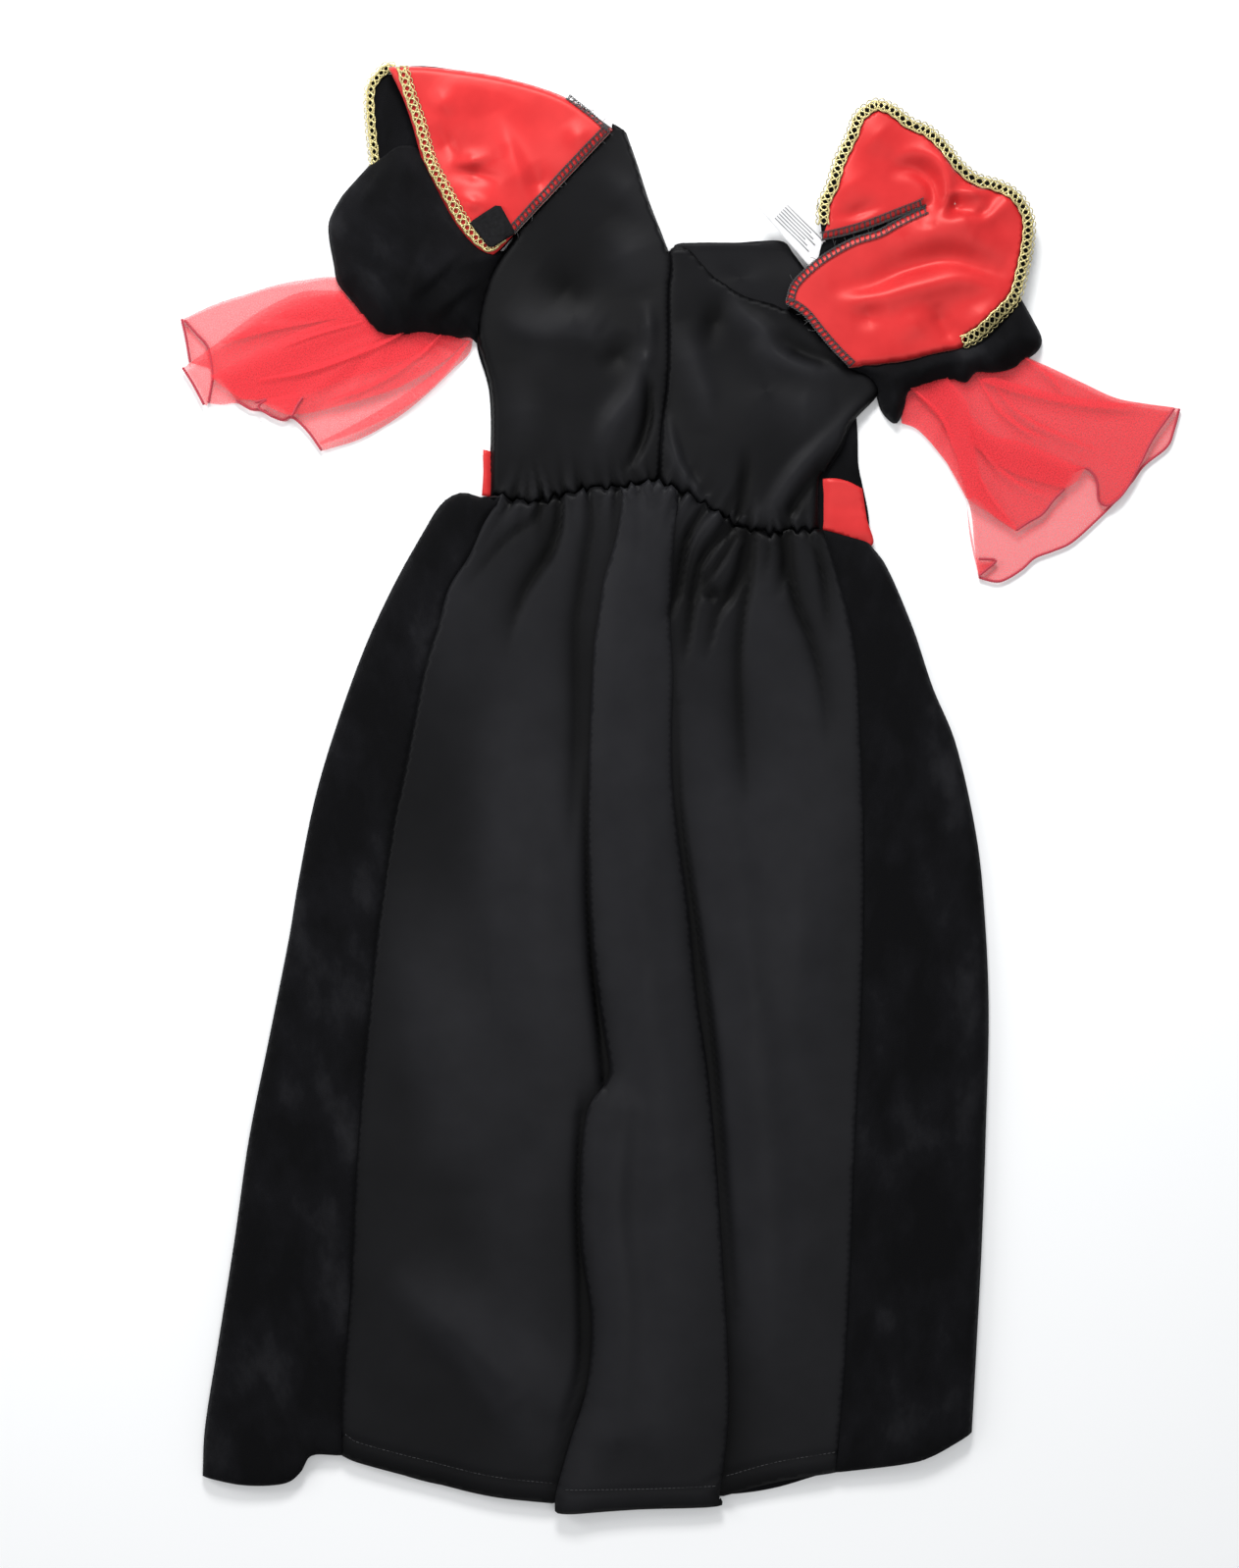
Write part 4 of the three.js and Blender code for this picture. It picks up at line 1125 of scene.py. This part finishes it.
right_regions = [
    ([RIGHT_TOP, RIGHT_HEM, RIGHT_SIDE, RIGHT_FOOT], flat_at(0.6, RIGHT_CENTRE, 9, 0.6, 11)),
    ([RIGHT_TOP[:-1], FRONT_SCALLOP, [(281, 223), (274, 211)], FRONT_HEM, [(239, 181), (224, 191),
        (212, 203), (204, 204)], RIGHT_SIDE[3:], RIGHT_FOOT], flat_at(2.6, RIGHT_CENTRE, 11, 0.9, 12)),
    ([[(207, 262), (222, 249), (239, 245), (265, 235), (280, 228), (289, 226)], [(289, 226), (282, 216),
        (274, 211)], [(274, 211), (255, 216), (235, 223), (216, 236), (207, 246), (207, 262)]],
        flat_at(5.0, RIGHT_CENTRE, 8, 0.6, 13)),
    ([[(162, 284), (178, 268), (192, 250), (199, 226), (205, 203)], [(205, 203), (216, 196), (239, 181)],
        [(239, 181), (238, 185), (222, 201), (213, 224), (208, 250), (204, 272), (190, 290)], [(190, 290),
        (162, 284)]], flat_at(5.2, RIGHT_CENTRE, 8, 0.6, 14)),
    ([[(224, 290), (252, 282), (279, 276), (331, 270)], [(331, 270), (300, 268), (270, 272), (236, 280),
        (214, 288), (224, 290)]], flat_at(5.4, RIGHT_CENTRE, 8, 0.5, 15)),
    ([[(204, 203), (208, 178), (213, 160), (225, 160)], [(225, 160), (219, 154), (213, 149)], [(213, 149),
        (207, 175), (204, 203)]], flat_at(2.2, RIGHT_CENTRE, 8, 0.3, 16)),
    (strip([(212, 290), (226, 268), (244, 254), (262, 246)], 3), flat_at(5.8, RIGHT_CENTRE, 5, 0.3, 17)),
    (strip([(222, 286), (240, 266), (268, 250), (298, 238)], 2.4), flat_at(6.2, RIGHT_CENTRE, 5, 0.3, 18)),
    (strip([(206, 256), (220, 232), (242, 214), (262, 206)], 2.6), flat_at(6.4, RIGHT_CENTRE, 5, 0.3, 19)),
    (strip([(212, 220), (222, 204), (236, 186)], 3), flat_at(6.6, RIGHT_CENTRE, 5, 0.3, 19)),
    (strip([(245, 304), (262, 292), (274, 278)], 2.4), flat_at(6.6, RIGHT_CENTRE, 5, 0.3, 19)),
    (strip([(168, 280), (186, 262), (196, 236)], 3), flat_at(7.0, RIGHT_CENTRE, 5, 0.3, 20)),
]


def axis_points(a, b, back, ahead, away):
    """Two points in metres, back and ahead of the middle of the line a-b in millimetres, 9 mm up; away is a
    point on the flounce and sets which side is ahead.
    """
    centre = (np.array(a) + np.array(b)) / 2
    along = np.array(b) - np.array(a)
    normal = np.array((-along[1], along[0])) / np.linalg.norm(along)
    if np.dot(np.array(away) - centre, normal) < 0:
        normal = -normal
    first, last = centre - back * normal, centre + ahead * normal
    return (*(first * MM), 0.009), (*(last * MM), 0.009)


LEFT_LIFT = axis_points((-166, 295), (-298, 351.5), 12, 22, (-300, 260))
RIGHT_LIFT = axis_points((253, 301), (159.5, 252.5), 12, 22, (290, 180))
for side, regions, lift in (("left", left_regions, LEFT_LIFT), ("right", right_regions, RIGHT_LIFT)):
    flounce = layers(f"flounce_{side}", regions, ORGANZA)
    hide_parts(f"flounce_{side}", f"cuff_{side}")
    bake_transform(flounce)


def rolled_hem(side, runs):
    """A fine rolled hem: two threads twisting round the edge of the organza."""
    paths = []
    for path, level in runs:
        at, length = on_path(smooth(path, 1.2), at_level(level))
        for phase in (0.0, math.pi):
            height = wave(0.4, HEM_TWIST, phase + 1.57, 0.7)
            paths.append(strand(at, length, wave(0.45, HEM_TWIST, phase), height, 0.6))
    obj = tubes(f"flounce_{side}_hem_threads", paths, 0.6, HEM_THREAD, 6)
    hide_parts(f"flounce_hem_{side}")
    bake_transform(obj)


rolled_hem("left", [([(-355, 332), (-352, 319), (-349, 301)], 1.6), ([(-353, 331), (-344, 321),
    (-336, 311), (-333, 293), (-334, 283), (-336, 272)], 2.2), ([(-354, 297), (-347, 286),
    (-339, 271)], 3.6), ([(-316, 274), (-306, 268), (-298, 267), (-291, 263), (-283, 260), (-276, 262),
    (-265, 252), (-255, 238)], 2.4), ([(-302, 272), (-294, 274), (-300, 269), (-290, 262)], 6.5),
    ([(-276, 262), (-272, 270), (-268, 276)], 7.0)])
rolled_hem("right", [(RIGHT_HEM, 1.6), (FRONT_SCALLOP, 4.0), (FRONT_HEM, 4.2), ([(213, 161),
    (225, 160), (219, 154), (213, 149)], 3.0)])
for side, line in (("left", [(-245, 349), (-236, 339), (-212, 318), (-185, 319), (-150, 316)]),
                   ("right", [(158, 260), (167, 280), (184, 288), (205, 289), (224, 294), (244, 304)])):
    band = loop(*strip(line, 5))
    elastic = cloth(f"cuff_elastic_{side}", band, at_level(0.9), ELASTIC, 3, thick=0.5)
    dress(elastic, "bodice")


# ---------------------------------------------------------------- floor, light and camera
def floor():
    bpy.ops.mesh.primitive_plane_add(size=30, location=(0, 0, 0))
    plane = bpy.context.object
    plane.name = "floor"
    material, nodes, links, shader = tree("floor_paper")
    settle(shader, {"Base Color": (0.92, 0.925, 0.93, 1), "Roughness": 0.9, "Specular IOR Level": 0.1})
    plane.data.materials.append(material)


def softbox(name, place, target, size, power):
    light = bpy.data.lights.new(name, "AREA")
    light.shape = "RECTANGLE"
    light.size, light.size_y = size
    light.energy = power
    lamp = bpy.data.objects.new(name, light)
    lamp.location = place
    lamp.rotation_euler = (Vector(target) - Vector(place)).to_track_quat("-Z", "Y").to_euler()
    bpy.context.scene.collection.objects.link(lamp)


floor()
softbox("light_top", (-0.15, 1.45, 1.0), (-0.02, 0.05, 0), (0.55, 0.4), 26)
softbox("light_left", (-1.35, 0.5, 0.9), (0, 0.1, 0), (0.5, 0.8), 9)
softbox("light_above", (0.3, -0.5, 2.0), (0, -0.3, 0), (1.4, 1.6), 11)
world = bpy.data.worlds.new("studio")
world.use_nodes = True
world.node_tree.nodes["Background"].inputs["Color"].default_value = (0.96, 0.98, 1.0, 1)
world.node_tree.nodes["Background"].inputs["Strength"].default_value = 0.46
bpy.context.scene.world = world
bpy.context.scene.view_settings.view_transform = "Standard"

lens = bpy.data.cameras.new("camera")
lens.lens = 70.8
lens.clip_start = 0.05
lens.clip_end = 20
camera = bpy.data.objects.new("camera", lens)
camera.location = (-0.043, 0.0007, 2.2)
bpy.context.scene.collection.objects.link(camera)
bpy.context.scene.camera = camera
